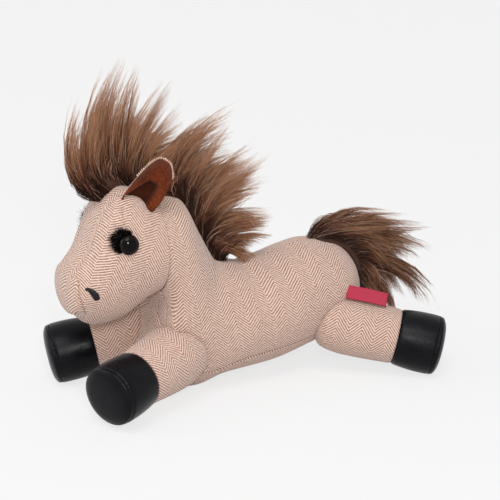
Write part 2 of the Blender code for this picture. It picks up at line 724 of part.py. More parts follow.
def make_fur():
    """The forelock on the head, the mane on the neck and the tail on its own pivot."""
    fur_strip("forelock_fur", HEAD, FORELOCK_RINGS, FORELOCK_SHARES, FORELOCK_LENGTH, FUR_THICKNESS,
              PILE_SHARES, HEAD_EMPTY)
    fur_strip("mane_fur", BODY, MANE_RINGS, MANE_SHARES, MANE_LENGTH, FUR_THICKNESS, PILE_SHARES, None)
    made = fur_strip("tail_fur", BODY, TAIL_RINGS, TAIL_SHARES, TAIL_LENGTH, TAIL_THICKNESS,
                     TAIL_PILE_SHARES, None)
    low = Vector(BODY.point(TAIL_RINGS[1], 0))
    made.data.transform(Matrix.Translation(-low))
    made.parent = pivot("tail_pivot", low)


def make_label():
    """A folded ribbon, left bare, that comes out of the hip seam and lies over the left hind leg."""
    start, out = side_place(surface(BODY), LABEL_X, LABEL_Z)
    length = Vector(LABEL_WAY_SHARES).normalized()
    across = Vector(LABEL_ACROSS_SHARES)
    across = (across - across.dot(length) * length).normalized()
    face = length.cross(across)
    rows = 6
    grids = []
    for side in (-1, 1):
        grid = []
        for k in range(rows + 1):
            arch = 4 * LABEL_THICKNESS * (k / rows) * (1 - k / rows)
            middle = start + length * (LABEL_LENGTH * k / rows) + face * arch
            thick = face * side * LABEL_THICKNESS / 2
            grid.append([middle + thick + across * (LABEL_WIDTH / 2 * u) for u in (-1, 0, 1)])
        grids.append(np.array(grid))
    boolean(cloth("side_label", grids[0], grids[1], RED), BODY_ROOM)


CUTTER = material("cutter", (1, 0, 0), 1)
TWEED = material("tweed", (0.60, 0.44, 0.38), 0.9)
STUFFING = material("stuffing", (0.9, 0.9, 0.88), 1)
BLACK = material("black_leather", (0.02, 0.02, 0.022), 0.45)
SUEDE = material("suede", (0.10, 0.03, 0.015), 0.85)
FUR = material("fur", (0.13, 0.08, 0.055), 0.8)
GLOSS = material("eye_plastic", (0.015, 0.008, 0.005), 0.08)
WHITE_PLASTIC = material("washer_plastic", (0.8, 0.8, 0.78), 0.5)
THREAD = material("black_thread", (0.01, 0.01, 0.01), 0.7)
RED = material("red_ribbon", (0.45, 0.01, 0.03), 0.6)

HEAD_EMPTY_NAME = "head_pivot"
HEAD_PLACE = Vector((HEAD_PIVOT_X, 0, SEAM_Z))

BODY = Loft(body_rows(), (CHEST_X + BODY_LENGTH, RUMP_END_Z))
HEAD = Loft(head_rows(), (SEAM_X - HEAD_LENGTH, NOSE_Z))
HEAD_SURFACE = surface(HEAD)
HEAD_EMPTY = pivot(HEAD_EMPTY_NAME, HEAD_PLACE)
HEAD_ROOM = as_cutter(closed_form("head_room", HEAD.grid(HEAD.places(), all_round(AROUND), FUR_LIFT), CUTTER,
                                  None, None, HEAD.tip(FUR_LIFT)))
FLOOR = box("floor_cut", (-BODY_LENGTH, -BODY_LENGTH, -OVERRUN), (BODY_LENGTH, BODY_LENGTH, 0))
BODY_ROOM = as_cutter(closed_form("body_room", BODY.grid(BODY.places(), all_round(2 * AROUND), GAP), CUTTER,
                                  None, None, BODY.tip(GAP)))

make_torso()
make_eyes(make_head())
make_nostrils()
make_ears()
make_fur()
make_label()
seats = [ball("head_seat", HEAD_PLACE, seat_radius() + 2 * GAP, count=BALL_AROUND)]
for name, mirror, turn, lift in (
    ("leg_front_left", -1, FRONT_LEFT_TURN, FRONT_LEFT_LIFT),
    ("leg_front_right", 1, FRONT_RIGHT_TURN, 0),
):
    place = Vector((SHOULDER_X, mirror * SHOULDER_Y, SHOULDER_Z))
    seats.append(make_leg(name, place, SHOULDER_RADIUS, FRONT_REACH, math.radians(180 - mirror * turn), lift))
for name, mirror in (("leg_hind_left", -1), ("leg_hind_right", 1)):
    place = Vector((HIP_X, mirror * HIP_Y, HIP_Z))
    seats.append(make_leg(name, place, HIP_RADIUS, HIND_REACH, math.radians(mirror * HIND_TURN)))
for part in ("body_panel_left", "body_panel_right", "belly_gusset", "body_stuffing"):
    for seat in seats:
        boolean(bpy.data.objects[part], seat)
boolean(bpy.data.objects["belly_gusset"], FLOOR)
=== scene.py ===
import math

import bmesh
import bpy
import numpy as np
from mathutils import Euler, Matrix, Vector
from mathutils.bvhtree import BVHTree


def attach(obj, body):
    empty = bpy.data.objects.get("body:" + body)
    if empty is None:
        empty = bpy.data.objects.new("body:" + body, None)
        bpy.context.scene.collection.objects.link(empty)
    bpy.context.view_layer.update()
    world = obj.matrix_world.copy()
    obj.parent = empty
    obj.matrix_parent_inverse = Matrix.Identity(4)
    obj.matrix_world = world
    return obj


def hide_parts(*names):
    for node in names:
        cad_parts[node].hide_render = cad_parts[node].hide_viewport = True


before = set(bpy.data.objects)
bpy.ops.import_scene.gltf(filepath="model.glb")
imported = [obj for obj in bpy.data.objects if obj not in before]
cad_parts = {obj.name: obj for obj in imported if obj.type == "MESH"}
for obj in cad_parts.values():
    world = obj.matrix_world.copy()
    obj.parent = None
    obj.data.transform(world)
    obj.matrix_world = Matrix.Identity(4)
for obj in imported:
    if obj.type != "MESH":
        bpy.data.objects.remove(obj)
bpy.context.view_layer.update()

MM = 0.001

# The camera looks down on the toy's left side from a little in front of it.
LOOK_AT = Vector((0, 0, 0.0936))
LOOK_TURN = math.radians(-25)
LOOK_DOWN = math.radians(20)
LOOK_FROM = 1.6
VIEW_WIDTH = 0.36
PICTURE = 500
LENS = 160
SENSOR = 36

CLOTH = 1.2 * MM
GAP = 0.3 * MM
SEAM_X = -77.5 * MM
SEAM_Z = 112 * MM
SEAM_RADIUS = 35.5 * MM
HEAD_PIVOT = Vector((-96 * MM, 0, SEAM_Z))
CHEST_X = -88 * MM
BODY_LENGTH = 174 * MM
BODY_WIDTH = 78 * MM
WITHERS_X = -28 * MM
WITHERS_Z = 92 * MM
RUMP_Z = 96 * MM
RUMP_END_Z = 54 * MM
REST_CUT = 0.5 * MM
HEAD_LENGTH = 68 * MM
HEAD_TOP_Z = 158 * MM
JAW_Z = 58.5 * MM
HEAD_WIDTH = 70 * MM
NOSE_Z = 86 * MM
FACE_PANEL_WIDTH = 26 * MM

SHOULDER = Vector((-70 * MM, 26 * MM, 34 * MM))
SHOULDER_RADIUS = 23 * MM
FRONT_REACH = 69 * MM
HIP = Vector((60 * MM, 26 * MM, 36 * MM))
HIP_RADIUS = 21.5 * MM
HIND_REACH = 71 * MM
HOOF_LENGTH = 28.5 * MM
HOOF_TOP_RADIUS = 20.3 * MM
HOOF_SOLE_RADIUS = 21.8 * MM
SOLE_DEPTH = 6 * MM
# Each leg's name, side, place of its ball, ball radius, reach, turn about the upright and lift of its hoof.
LEGS = (
    ("front_left", -1, SHOULDER, SHOULDER_RADIUS, FRONT_REACH, 206, 4.5 * MM),
    ("front_right", 1, SHOULDER, SHOULDER_RADIUS, FRONT_REACH, 166, 0),
    ("hind_left", -1, HIP, HIP_RADIUS, HIND_REACH, -29, 0),
    ("hind_right", 1, HIP, HIP_RADIUS, HIND_REACH, 29, 0),
)

EYE_RADIUS = 7.2 * MM
EYE_HEIGHT = 4.6 * MM
EYE_X = -106.5 * MM
EYE_Z = 124.5 * MM
NOSTRIL_X = -131.5 * MM
NOSTRIL_Z = 90 * MM
NOSTRIL_LENGTH = 10 * MM
NOSTRIL_RADIUS = 2.5 * MM
NOSTRIL_THICKNESS = 1.9 * MM

EAR_WIDTH = 25 * MM
EAR_HEIGHT = 41 * MM
EAR_CUP = 7 * MM
EAR_FRONT = (-105 * MM, 15 * MM)
EAR_REAR = (-84 * MM, 22 * MM)
EAR_OUT = 12
LINING_INSET = 0.15 * MM

# The herringbone, in millimetres of cloth: a column's width, and the steps of its ribs and of the yarns in them.
COLUMN_WIDTH = 9.4
RIB_STEP = 2.35
YARN_STEP = 0.74
# How far each weave leans and turns, and where a cut in front of a seam is wrapped round.
BODY_WEAVE = (0.16, 0)
HEAD_WEAVE = (0.3, 0.62)
MUZZLE_AXIS_X = -116 * MM
CHEST_AXIS_X = -60 * MM
FRONT_RADIUS = 26 * MM
SLEEVE_RADIUS = 20.5 * MM
GUSSET_END = 10
# Millimetres from a seam, past which the cloth takes no painted seam shade.
SEAM_SEEN = 9.0
LEATHER_THICKNESS = 1.3 * MM
RIBBON_THICKNESS = 0.35 * MM
ROUND = 108
STEM_LENGTH = 13 * MM
STEM_RADIUS = 2.4 * MM
SATIN_STEP = 0.34 * MM
TUCK_DEPTH = 3.5 * MM
LASHES = 1250
LASH_RADIUS = 0.10 * MM

# How strongly the world lights the toy, and what the camera sees over that behind it and on the floor.
WORLD_LIGHT = 0.45
BACKGROUND_GLOW = 0.515
FLOOR_GLOW = 0.738

FUR_THICKNESS = 19 * MM
FORELOCK_LENGTH = 76 * MM
MANE_LENGTH = 78 * MM
TAIL_LENGTH = 80 * MM
TAIL_THICKNESS = 26 * MM
LOCKS = 17
LINES_IN_A_LOCK = 25
LOCK_WIDTH = 1.5 * MM
STRAND_RADIUS = 0.135 * MM
STRAND_WAVE = 6 * MM

LABEL_LENGTH = 30 * MM
LABEL_WIDTH = 10 * MM
LABEL_THICKNESS = 1.2 * MM
LABEL_X = 63 * MM
LABEL_Z = 62 * MM

NECK_SHARES = (
    (0, 0, 0, 0, 0),
    (0.42, 0.10, -0.12, 0.163, 0.25),
    (0.70, 0.55, 0.49, 0.40, 0.5),
    (0.87, 0.85, 1, 0.634, 0.7),
    (1, 1, 0.06, 0.93, 0.85),
)
TORSO_SHARES = (
    (0.46, 0.915, 0.20, 0, 0.97),
    (0.58, 0.925, 0.33, 0.0625, 1),
    (0.68, 0.975, 0.56, 0.10, 0.98),
    (0.77, 1, 0.74, 0.18, 0.91),
)
HEAD_SHARES = (
    (0.11, 0.915, 0.11, 0.155, 1.03),
    (0.22, 0.985, 0.228, 0.10, 1.01),
    (0.375, 1, 0.39, 0.03, 1),
    (0.53, 0.935, 0.551, 0, 0.95),
    (0.64, 0.80, 0.684, 0.002, 0.86),
    (0.757, 0.61, 0.794, 0.035, 0.76),
    (0.89, 0.485, 0.882, 0.095, 0.68),
)
BELLY_SEAM_DEGREES = (152, 146, 138, 132, 128, 126, 124, 124, 130)
DOME_DEGREES = (30, 54, 75, 84, 89)
BALL_DEGREES = (84, 77, 60, 42, 24)
LEG_SHARES = ((0.05, 1.0), (0.32, 1.0), (0.62, 0.6), (0.84, 0.22))
SOLE_SHARES = ((0.16, 0.985), (0.45, 0.94), (0.80, 0.74), (0.96, 0.42), (0.995, 0.14))
PILE_SHARES = ((0, 0.45), (0.10, 0.85), (0.34, 1), (0.66, 0.78), (0.90, 0.36))
TAIL_PILE_SHARES = ((0, 0.06), (0.06, 0.5), (0.30, 0.9), (0.62, 1), (0.88, 0.5))
FORELOCK_SHARES = ((-0.35, 0.70), (-0.21, 0.97), (-0.105, 1.07), (0.04, 1.01))
MANE_SHARES = ((0.08, 0.99), (0.23, 0.79), (0.38, 0.74), (0.44, 0.56), (0.37, 0.31))
TAIL_SHARES = ((0.69, 0.176), (0.87, 0.06), (0.889, -0.099), (0.79, -0.275), (0.61, -0.396))
FORELOCK_RINGS = (4.3, 0.55)
MANE_RINGS = (0.35, 4.3)
TAIL_RINGS = (8.1, 11)
# Where the loose hair reaches, over the ridges that the solids have.
FORELOCK_HAIR = ((-0.36, 0.66), (-0.24, 0.95), (-0.10, 1.06), (0.10, 1.04), (0.34, 0.92))
MANE_HAIR = ((0.02, 1.0), (0.26, 0.86), (0.42, 0.76), (0.48, 0.54), (0.46, 0.27))
TAIL_HAIR = ((0.66, 0.27), (0.94, 0.13), (1.06, -0.06), (1.04, -0.30), (0.84, -0.48), (0.34, -0.44))
EAR_SHARES = (
    (-0.15, 0.94, 0.15, 0),
    (0, 0.96, 0.2, 0),
    (0.2, 1, 0.75, 0.04),
    (0.4, 0.96, 1.15, 0.07),
    (0.6, 0.88, 1.3, 0.09),
    (0.76, 0.75, 1.05, 0.09),
    (0.89, 0.55, 0.65, 0.07),
    (0.965, 0.34, 0.3, 0.05),
    (0.998, 0.1, 0.05, 0.02),
)
NOSTRIL_SHARES = (
    (0.3, 0.6, 0.42),
    (0.5, 0.32, 0.42),
    (0.8, 0.02, 0.2),
    (1, -0.24, -0.14),
    (0.75, -0.38, -0.5),
)
LABEL_WAY = Vector((0.88, -0.42, -0.22))
LABEL_ACROSS = Vector((0, 0.6, 0.8))


def rgb(code):
    """A colour as it is seen, from six hex digits, in the numbers that a shader takes."""
    parts = [int(code[k:k + 2], 16) / 255 for k in (0, 2, 4)]
    return tuple([p / 12.92 if p <= 0.04045 else ((p + 0.055) / 1.055) ** 2.4 for p in parts] + [1])


# Camera and lamps.

def in_scene(name, data):
    made = bpy.data.objects.new(name, data)
    bpy.context.scene.collection.objects.link(made)
    return made


def aim(made, place, back):
    """Puts a camera or a lamp in its place, looking away from back."""
    made.location = place
    made.rotation_euler = back.to_track_quat("Z", "Y").to_euler()


def look_axes():
    """The camera's right, back and up directions."""
    right = Vector((math.cos(LOOK_TURN), math.sin(LOOK_TURN), 0))
    level = Vector((math.sin(LOOK_TURN), -math.cos(LOOK_TURN), 0))
    back = level * math.cos(LOOK_DOWN) + Vector((0, 0, math.sin(LOOK_DOWN)))
    return right, back, back.cross(right)


def set_camera():
    data = bpy.data.cameras.new("photo_camera")
    data.lens, data.sensor_width = LENS, SENSOR
    data.clip_start, data.clip_end = 0.05, 20
    camera = in_scene("photo_camera", data)
    back = look_axes()[1]
    aim(camera, LOOK_AT + back * LOOK_FROM, back)
    bpy.context.scene.camera = camera


def add_lamp(name, kind, place, energy, size):
    """A lamp that looks at the toy. size is a sun's width in degrees, or a disk's in metres."""
    data = bpy.data.lights.new(name, kind)
    data.energy = energy
    if kind == "SUN":
        data.angle = math.radians(size)
    else:
        data.shape, data.size = "DISK", size
    aim(in_scene(name, data), place, Vector(place) - LOOK_AT)


# Materials.

class Shader:
    """Short calls for wiring a node tree."""

    def __init__(self, tree):
        self.tree = tree
        self.count = 0

    def node(self, kind, feeds=None, **settings):
        """A node with its settings. feeds gives what goes into its inputs, by name or by number."""
        made = self.tree.nodes.new(kind)
        self.count += 1
        made.location = (180 * (self.count % 12) - 1400, -220 * (self.count // 12))
        for key, value in settings.items():
            setattr(made, key, value)
        for key, value in (feeds or {}).items():
            self.feed(made.inputs[key], value)
        return made

    def feed(self, socket, value):
        if isinstance(value, bpy.types.NodeSocket):
            self.tree.links.new(value, socket)
        else:
            socket.default_value = value

    def math(self, operation, *values, clamp=False):
        return self.node("ShaderNodeMath", dict(enumerate(values)), operation=operation, use_clamp=clamp).outputs[0]

    def vector(self, operation, a, b):
        """Two vectors put together, or a vector and the number that scales it."""
        second = "Scale" if operation == "SCALE" else 1
        return self.node("ShaderNodeVectorMath", {0: a, second: b}, operation=operation).outputs[0]

    def range(self, *values):
        """A value eased from between the next two numbers to between the last two, or to 0 to 1."""
        feeds = dict(enumerate(values))
        return self.node("ShaderNodeMapRange", feeds, interpolation_type="SMOOTHSTEP").outputs[0]

    def noise(self, place, scale, detail=2.0, rough=0.5, kind="Fac"):
        feeds = {"Vector": place, "Scale": scale, "Detail": detail, "Roughness": rough}
        return self.node("ShaderNodeTexNoise", feeds).outputs[kind]

    def stir(self, place, scale, detail=2.0):
        """A random way to shift, up to half either way on each axis."""
        return self.vector("SUBTRACT", self.noise(place, scale, detail, 0.5, "Color"), (0.5, 0.5, 0.5))

    def mix(self, share, a, b):
        return self.node("ShaderNodeMix", {0: share, 6: a, 7: b}, data_type="RGBA").outputs[2]

    def split(self, vector):
        return self.node("ShaderNodeSeparateXYZ", {0: vector}).outputs

    def wave(self, value, step):
        """A cosine that repeats at each step."""
        return self.math("COSINE", self.math("MULTIPLY", value, 2 * math.pi / step))

    def seen(self):
        """1 where the camera looks, also in gloss or through glass, and 0 for the light on the toy."""
        path = self.node("ShaderNodeLightPath").outputs
        seen = self.math("ADD", path["Is Camera Ray"], path["Is Glossy Ray"])
        return self.math("ADD", seen, path["Is Transmission Ray"], clamp=True)


class Finish(Shader):
    """A material. It is wired first, and paint then makes its surface."""

    def __init__(self, name):
        self.material = bpy.data.materials.new(name)
        self.material.use_nodes = True
        self.material.node_tree.nodes.clear()
        super().__init__(self.material.node_tree)

    def place(self):
        """Where a point lies on the object."""
        return self.node("ShaderNodeTexCoord").outputs["Object"]

    def cloth_place(self):
        return self.node("ShaderNodeUVMap", uv_map="cloth").outputs[0]

    def stored(self, name):
        """A value that the mesh holds for each point."""
        return self.node("ShaderNodeAttribute", attribute_name=name).outputs["Fac"]

    def paint(self, feeds, height=None, depth=0, strength=1.0):
        """Makes the surface from its feeds, with relief where a height is given, and gives the material."""
        surface = self.node("ShaderNodeBsdfPrincipled", feeds)
        self.node("ShaderNodeOutputMaterial", {0: surface.outputs[0]})
        if height is not None:
            relief = self.node("ShaderNodeBump", {"Height": height, "Distance": depth, "Strength": strength})
            self.feed(surface.inputs["Normal"], relief.outputs[0])
        return self.material


def node_group(kind, name, takes, gives):
    """An empty group whose sockets are named in takes and gives, with the two ends in place."""
    tree = bpy.data.node_groups.new(name, kind)
    for sockets, way in ((takes, "INPUT"), (gives, "OUTPUT")):
        for socket, held in sockets.items():
            tree.interface.new_socket(socket, in_out=way, socket_type=f"NodeSocket{held}")
    s = Shader(tree)
    return tree, s, s.node("NodeGroupInput").outputs, s.node("NodeGroupOutput").inputs


def herringbone_tweed():
    """Woven herringbone: columns of slanting ribs that turn at each column's edge, each rib a row of yarn humps."""
    tree, s, start, end = node_group(
        "ShaderNodeTree", "herringbone_tweed",
        {"Cloth place": "Vector", "Seam distance for painted shade": "Float"},
        {"Colour": "Color", "Height": "Float", "Roughness": "Float"},
    )
    place = s.vector("SCALE", start["Cloth place"], 1 / MM)
    moved = s.vector("ADD", place, s.vector("SCALE", s.stir(place, 0.09), 1.4))
    moved = s.vector("ADD", moved, s.vector("SCALE", s.stir(place, 0.8), 0.5))
    u, v, _ = s.split(moved)
    across = s.math("PINGPONG", s.math("DIVIDE", u, COLUMN_WIDTH), 1.0)
    across = s.math("MULTIPLY", across, COLUMN_WIDTH)
    rib = s.wave(s.math("ADD", v, across), RIB_STEP)
    yarn = s.wave(across, YARN_STEP)
    fibre = s.noise(moved, 1.6, 3.0, 0.65)
    fleck = s.noise(moved, 0.55)
    wide = s.noise(place, 0.022)
    dark = s.math("MULTIPLY", s.range(rib, -0.6, 0.3), s.math("MULTIPLY_ADD", yarn, 0.22, 0.78))
    dark = s.math("MULTIPLY", dark, s.range(fleck, 0.28, 0.62, 0.45, 1.0))
    pale = s.mix(s.range(fibre, 0.3, 0.7), rgb("F3D5C5"), rgb("D5B2A1"))
    deep = s.mix(s.range(fleck, 0.35, 0.65), rgb("40231A"), rgb("643F31"))
    colour = s.mix(s.math("POWER", dark, 0.8), pale, deep)
    colour = s.mix(s.range(wide, 0.3, 0.7, 0.0, 0.12), colour, rgb("C9A795"))
    # Painted shade: the cloth is darkened close to seams, where pieces meet and where the leg cloth ends at the hoof,
    # as the shadow in those creases.
    seam = s.range(start["Seam distance for painted shade"], 0.1, 1.1, 0.26, 0.0)
    height = s.math("MULTIPLY_ADD", rib, -0.30, s.math("MULTIPLY", yarn, 0.10))
    s.feed(end["Colour"], s.mix(seam, colour, rgb("6E4A3C")))
    s.feed(end["Height"], s.math("ADD", height, s.math("MULTIPLY", fibre, 0.35)))
    s.feed(end["Roughness"], s.range(fibre, 0.2, 0.8, 0.86, 1.0))
    return tree


def tweed_material(group):
    s = Finish("tweed_cloth")
    feeds = {"Cloth place": s.cloth_place(), "Seam distance for painted shade": s.stored("seam")}
    weave = s.node("ShaderNodeGroup", feeds, node_tree=group).outputs
    return s.paint({
        "Base Color": weave["Colour"], "Roughness": weave["Roughness"],
        "Sheen Weight": 0.25, "Sheen Roughness": 0.6, "Specular IOR Level": 0.2,
    }, weave["Height"], 0.35 * MM, 0.9)


def leather_material():
    s = Finish("black_hoof_leather")
    place = s.place()
    grain = s.node("ShaderNodeTexVoronoi", {"Vector": place, "Scale": 1100}, feature="SMOOTH_F1")
    wear = s.noise(place, 55, 4.0, 0.6)
    height = s.math("MULTIPLY", grain.outputs["Distance"], 0.6)
    for relief, share in ((s.noise(place, 2600, 3.0, 0.6), 0.25), (s.noise(place, 240, 3.0, 0.55), 1.3)):
        height = s.math("ADD", height, s.math("MULTIPLY", relief, share))
    return s.paint({
        "Base Color": s.mix(s.range(wear, 0.35, 0.75), rgb("050508"), rgb("0C0C11")),
        "Roughness": s.range(wear, 0.3, 0.7, 0.27, 0.40),
        "Specular IOR Level": 0.12,
    }, height, 0.16 * MM, 0.8)


def suede_material():
    s = Finish("rust_suede")
    place = s.place()
    nap = s.noise(place, 420, 4.0, 0.65)
    brushed = s.noise(place, 60, 3.0)
    colour = s.mix(s.range(brushed, 0.35, 0.7), rgb("4A1B09"), rgb("6A2D14"))
    colour = s.mix(s.range(nap, 0.3, 0.75, 0.0, 0.5), colour, rgb("8A4524"))
    return s.paint({
        # Painted shade: the lining is darkened where it is tucked in under the fold, as the shadow in the ear's
        # hollow.
        "Base Color": s.mix(s.math("MULTIPLY", s.stored("tuck_and_shade"), 0.8), colour, rgb("1A0904")),
        "Roughness": s.range(nap, 0.3, 0.7, 0.85, 1.0),
        "Sheen Weight": 0.10, "Specular IOR Level": 0.08,
    }, s.math("ADD", nap, s.math("MULTIPLY", s.noise(place, 2400), 0.5)), 0.3 * MM, 0.8)


def fur_material(name, root, middle, tip, pale):
    """Long pile, dark at the root and lighter to the end, each strand its own shade."""
    s = Finish(name)
    shade = s.stored("shade")
    reach = s.math("ADD", s.stored("along"), s.math("MULTIPLY", s.math("SUBTRACT", shade, 0.5), 0.45))
    colour = s.mix(s.range(reach, 0.20, 0.62), rgb(root), rgb(middle))
    colour = s.mix(s.range(reach, 0.42, 0.94), colour, rgb(tip))
    return s.paint({
        "Base Color": s.mix(s.range(shade, 0.86, 1.0, 0.0, 0.55), colour, rgb(pale)),
        "Roughness": s.range(shade, 0.0, 1.0, 0.42, 0.6),
        "Specular IOR Level": 0.22,
    })


def grained_material(name, low, high, grain, rough, depth, strength, shine=0.5):
    """A plain finish whose one fine grain shows in its colour, its roughness and its relief."""
    s = Finish(name)
    tone = s.noise(s.place(), *grain)
    feeds = {
        "Base Color": s.mix(tone, rgb(low), rgb(high)), "Roughness": s.range(tone, *rough),
        "Specular IOR Level": shine,
    }
    return s.paint(feeds, tone, depth, strength)


def thread_material(name, low, high, rough=0.6, shine=0.2):
    """Spun thread: fine fibres with a slight lustre."""
    rough = (0.2, 0.8, rough - 0.1, rough + 0.12)
    return grained_material(name, low, high, (1700, 3.0, 0.6), rough, 0.08 * MM, 0.7, shine)


def eye_material():
    s = Finish("eye_glaze")
    place, rim = s.place(), s.stored("rim")
    iris = s.mix(s.noise(place, 90), rgb("120A07"), rgb("1F130D"))
    colour = s.mix(s.range(rim, 0.60, 0.74), rgb("050404"), iris)
    return s.paint({
        "Base Color": s.mix(s.range(rim, 0.86, 0.94), colour, rgb("060404")),
        "Roughness": s.range(s.noise(place, 700), 0.3, 0.8, 0.03, 0.06),
        "IOR": 1.46, "Specular IOR Level": 0.12,
    })


def ribbon_material():
    s = Finish("red_woven_ribbon")
    place = s.vector("SCALE", s.cloth_place(), 1 / MM)
    u, v, _ = s.split(place)
    weave = s.math("MULTIPLY_ADD", s.wave(u, 0.55), 0.5, s.math("MULTIPLY", s.wave(v, 0.4), 0.2))
    tone = s.noise(place, 0.9, 3.0, 0.6)
    colour = s.mix(s.range(weave, -0.7, 0.7), rgb("8E1230"), rgb("C22447"))
    return s.paint({
        "Base Color": s.mix(s.range(tone, 0.3, 0.7, 0.0, 0.35), colour, rgb("A51B3A")),
        "Roughness": s.range(tone, 0.3, 0.7, 0.5, 0.68),
    }, weave, 0.12 * MM, 0.8)


def floor_material():
    """Pale sheet: it takes the toy's shadow, and the camera sees it a little lighter than it lights the toy."""
    s = Finish("pale_floor")
    pale = s.mix(s.noise(s.place(), 3), rgb("E2E2E2"), rgb("E4E4E4"))
    seen = s.seen()
    return s.paint({
        "Base Color": s.mix(seen, pale, rgb("747474")), "Roughness": 1.0, "Specular IOR Level": 0.0,
        "Emission Color": rgb("FFFFFF"), "Emission Strength": s.math("MULTIPLY", seen, FLOOR_GLOW),
    })


def set_world():
    world = bpy.data.worlds.new("studio")
    world.use_nodes = True
    world.node_tree.nodes.clear()
    s = Shader(world.node_tree)
    strength = s.math("MULTIPLY_ADD", s.seen(), BACKGROUND_GLOW, WORLD_LIGHT)
    back = s.node("ShaderNodeBackground", {"Color": rgb("FFFFFF"), "Strength": strength})
    s.node("ShaderNodeOutputWorld", {0: back.outputs[0]})
    bpy.context.scene.world = world


# The stuffed forms, drawn through the same rings as the solids.

def curve_through(rows, s):
    """Places on a smooth curve through the rows, for an array of positions."""
    rows = np.asarray(rows, float)
    s = np.asarray(s, float)
    last = len(rows) - 1
    at = np.clip(s.astype(int), 0, last - 1)
    t = (s - at)[..., None]
    a, b = rows[at], rows[at + 1]
    before = np.where((at > 0)[..., None], rows[np.maximum(at - 1, 0)], 2 * a - b)
    after = np.where((at + 2 <= last)[..., None], rows[np.minimum(at + 2, last)], 2 * b - a)
    bend = 2 * before - 5 * a + 4 * b - after
    return (2 * a + t * (b - before) + t * t * bend + t ** 3 * (-before + 3 * a - 3 * b + after)) / 2


class Form:
    """A stuffed form: each ring is an ellipse between an upper and a lower point of the middle plane."""

    def __init__(self, rows, tip):
        rows = [np.array(r, float) for r in rows]
        self.end = np.array(tip, float)
        centre, half = (rows[-1][:2] + rows[-1][2:4]) / 2, (rows[-1][:2] - rows[-1][2:4]) / 2
        width = rows[-1][4]
        for degrees in DOME_DEGREES:
            share, size = math.sin(math.radians(degrees)), math.cos(math.radians(degrees))
            middle = centre + (self.end - centre) * share
            rows.append(np.array([*(middle + half * size), *(middle - half * size), width * size]))
        self.rows = np.array(rows)
        self.last = len(rows) - 1

    def place(self, s, phi):
        s, phi = np.broadcast_arrays(np.asarray(s, float), np.asarray(phi, float))
        row = curve_through(self.rows, np.clip(s, 0, self.last))
        middle, half = (row[..., :2] + row[..., 2:4]) / 2, (row[..., :2] - row[..., 2:4]) / 2
        x = middle[..., 0] + half[..., 0] * np.cos(phi)
        z = middle[..., 1] + half[..., 1] * np.cos(phi)
        return np.stack([x, -row[..., 4] * np.sin(phi), z], -1)

    def out(self, s, phi):
        """The way out of the surface."""
        s = np.clip(s, 0.01, self.last - 0.01)
        along = self.place(s + 0.01, phi) - self.place(s - 0.01, phi)
        around = self.place(s, phi + 0.01) - self.place(s, phi - 0.01)
        way = np.cross(along, around)
        size = np.linalg.norm(way, axis=-1, keepdims=True)
        way = way / np.maximum(size, 1e-12)
        middle = (self.place(s, phi) + self.place(s, phi + math.pi)) / 2
        flip = np.sum(way * (self.place(s, phi) - middle), -1, keepdims=True) < 0
        return np.where(flip, -way, way)


def body_rows():
    seam = np.array((SEAM_X, SEAM_Z + SEAM_RADIUS, SEAM_X, SEAM_Z - SEAM_RADIUS, SEAM_RADIUS))
    shoulder = np.array((WITHERS_X, WITHERS_Z, CHEST_X, 0, BODY_WIDTH / 2))
    rows = [seam + (shoulder - seam) * np.array(shares) for shares in NECK_SHARES]
    for top_along, top_up, low_along, low_up, width in TORSO_SHARES:
        top = (CHEST_X + top_along * BODY_LENGTH, top_up * RUMP_Z)
        low = (CHEST_X + low_along * BODY_LENGTH, low_up * RUMP_Z - REST_CUT)
        rows.append(np.array((*top, *low, width * BODY_WIDTH / 2)))
    return rows


def head_rows():
    rows = [(SEAM_X, SEAM_Z + SEAM_RADIUS, SEAM_X, SEAM_Z - SEAM_RADIUS, SEAM_RADIUS)]
    height = HEAD_TOP_Z - JAW_Z
    for top_along, top_up, low_along, low_up, width in HEAD_SHARES:
        top = (SEAM_X - top_along * HEAD_LENGTH, JAW_Z + top_up * height)
        low = (SEAM_X - low_along * HEAD_LENGTH, JAW_Z + low_up * height)
        rows.append((*top, *low, width * HEAD_WIDTH / 2))
    return rows


BODY = Form(body_rows(), (CHEST_X + BODY_LENGTH, RUMP_END_Z))
HEAD = Form(head_rows(), (SEAM_X - HEAD_LENGTH, NOSE_Z))


def belly_seam(s):
    """The belly seam's angle from the back's top: past the last listed ring the gusset runs out to a point."""
    s = np.asarray(s, float)
    last = len(BELLY_SEAM_DEGREES) - 1
    listed = np.interp(np.minimum(s, last), range(last + 1), BELLY_SEAM_DEGREES)
    share = np.clip((s - last) / 2, 0, 1)
    return np.radians(listed + (180 - listed) * share)


def face_seam(s):
    """Half the face panel's angle at a ring of the head."""
    width = curve_through(HEAD.rows, np.clip(s, 0, HEAD.last))[..., 4]
    return np.arcsin(np.clip(FACE_PANEL_WIDTH / 2 / np.maximum(width, 1e-5), 0, 0.92))


def smooth_noise(points, size, seed):
    """Soft random swelling between -1 and 1, with lumps about size metres across."""
    rng = np.random.default_rng(seed)
    waves = rng.normal(size=(14, 3)) / size * 1.6
    shifts = rng.uniform(0, 2 * math.pi, 14)
    return np.sin(points @ waves.T + shifts).sum(-1) / 14 * 1.9


def line_distance(points, line):
    """How far each point is from a line of points, and how far along the line its nearest place is."""
    line = np.asarray(line, float)
    best, along = np.full(len(points), 9.0), np.zeros(len(points))
    done = 0.0
    for a, b in zip(line[:-1], line[1:]):
        way = b - a
        size = np.linalg.norm(way)
        if size < 1e-9:
            continue
        t = np.clip((points - a) @ way / size ** 2, 0, 1)
        far = np.linalg.norm(points - a - t[:, None] * way, axis=1)
        nearer = far < best
        best = np.where(nearer, far, best)
        along = np.where(nearer, done + t * size, along)
        done += size
    return best, along


def run_along(points):
    """How far along a line each of its points is."""
    return np.concatenate([[0], np.cumsum(np.linalg.norm(np.diff(points, axis=0), axis=-1))])


def put(points, matrix):
    """Points of a space, where the matrix puts that space."""
    return points @ np.array(matrix.to_3x3()).T + np.array(matrix.translation)


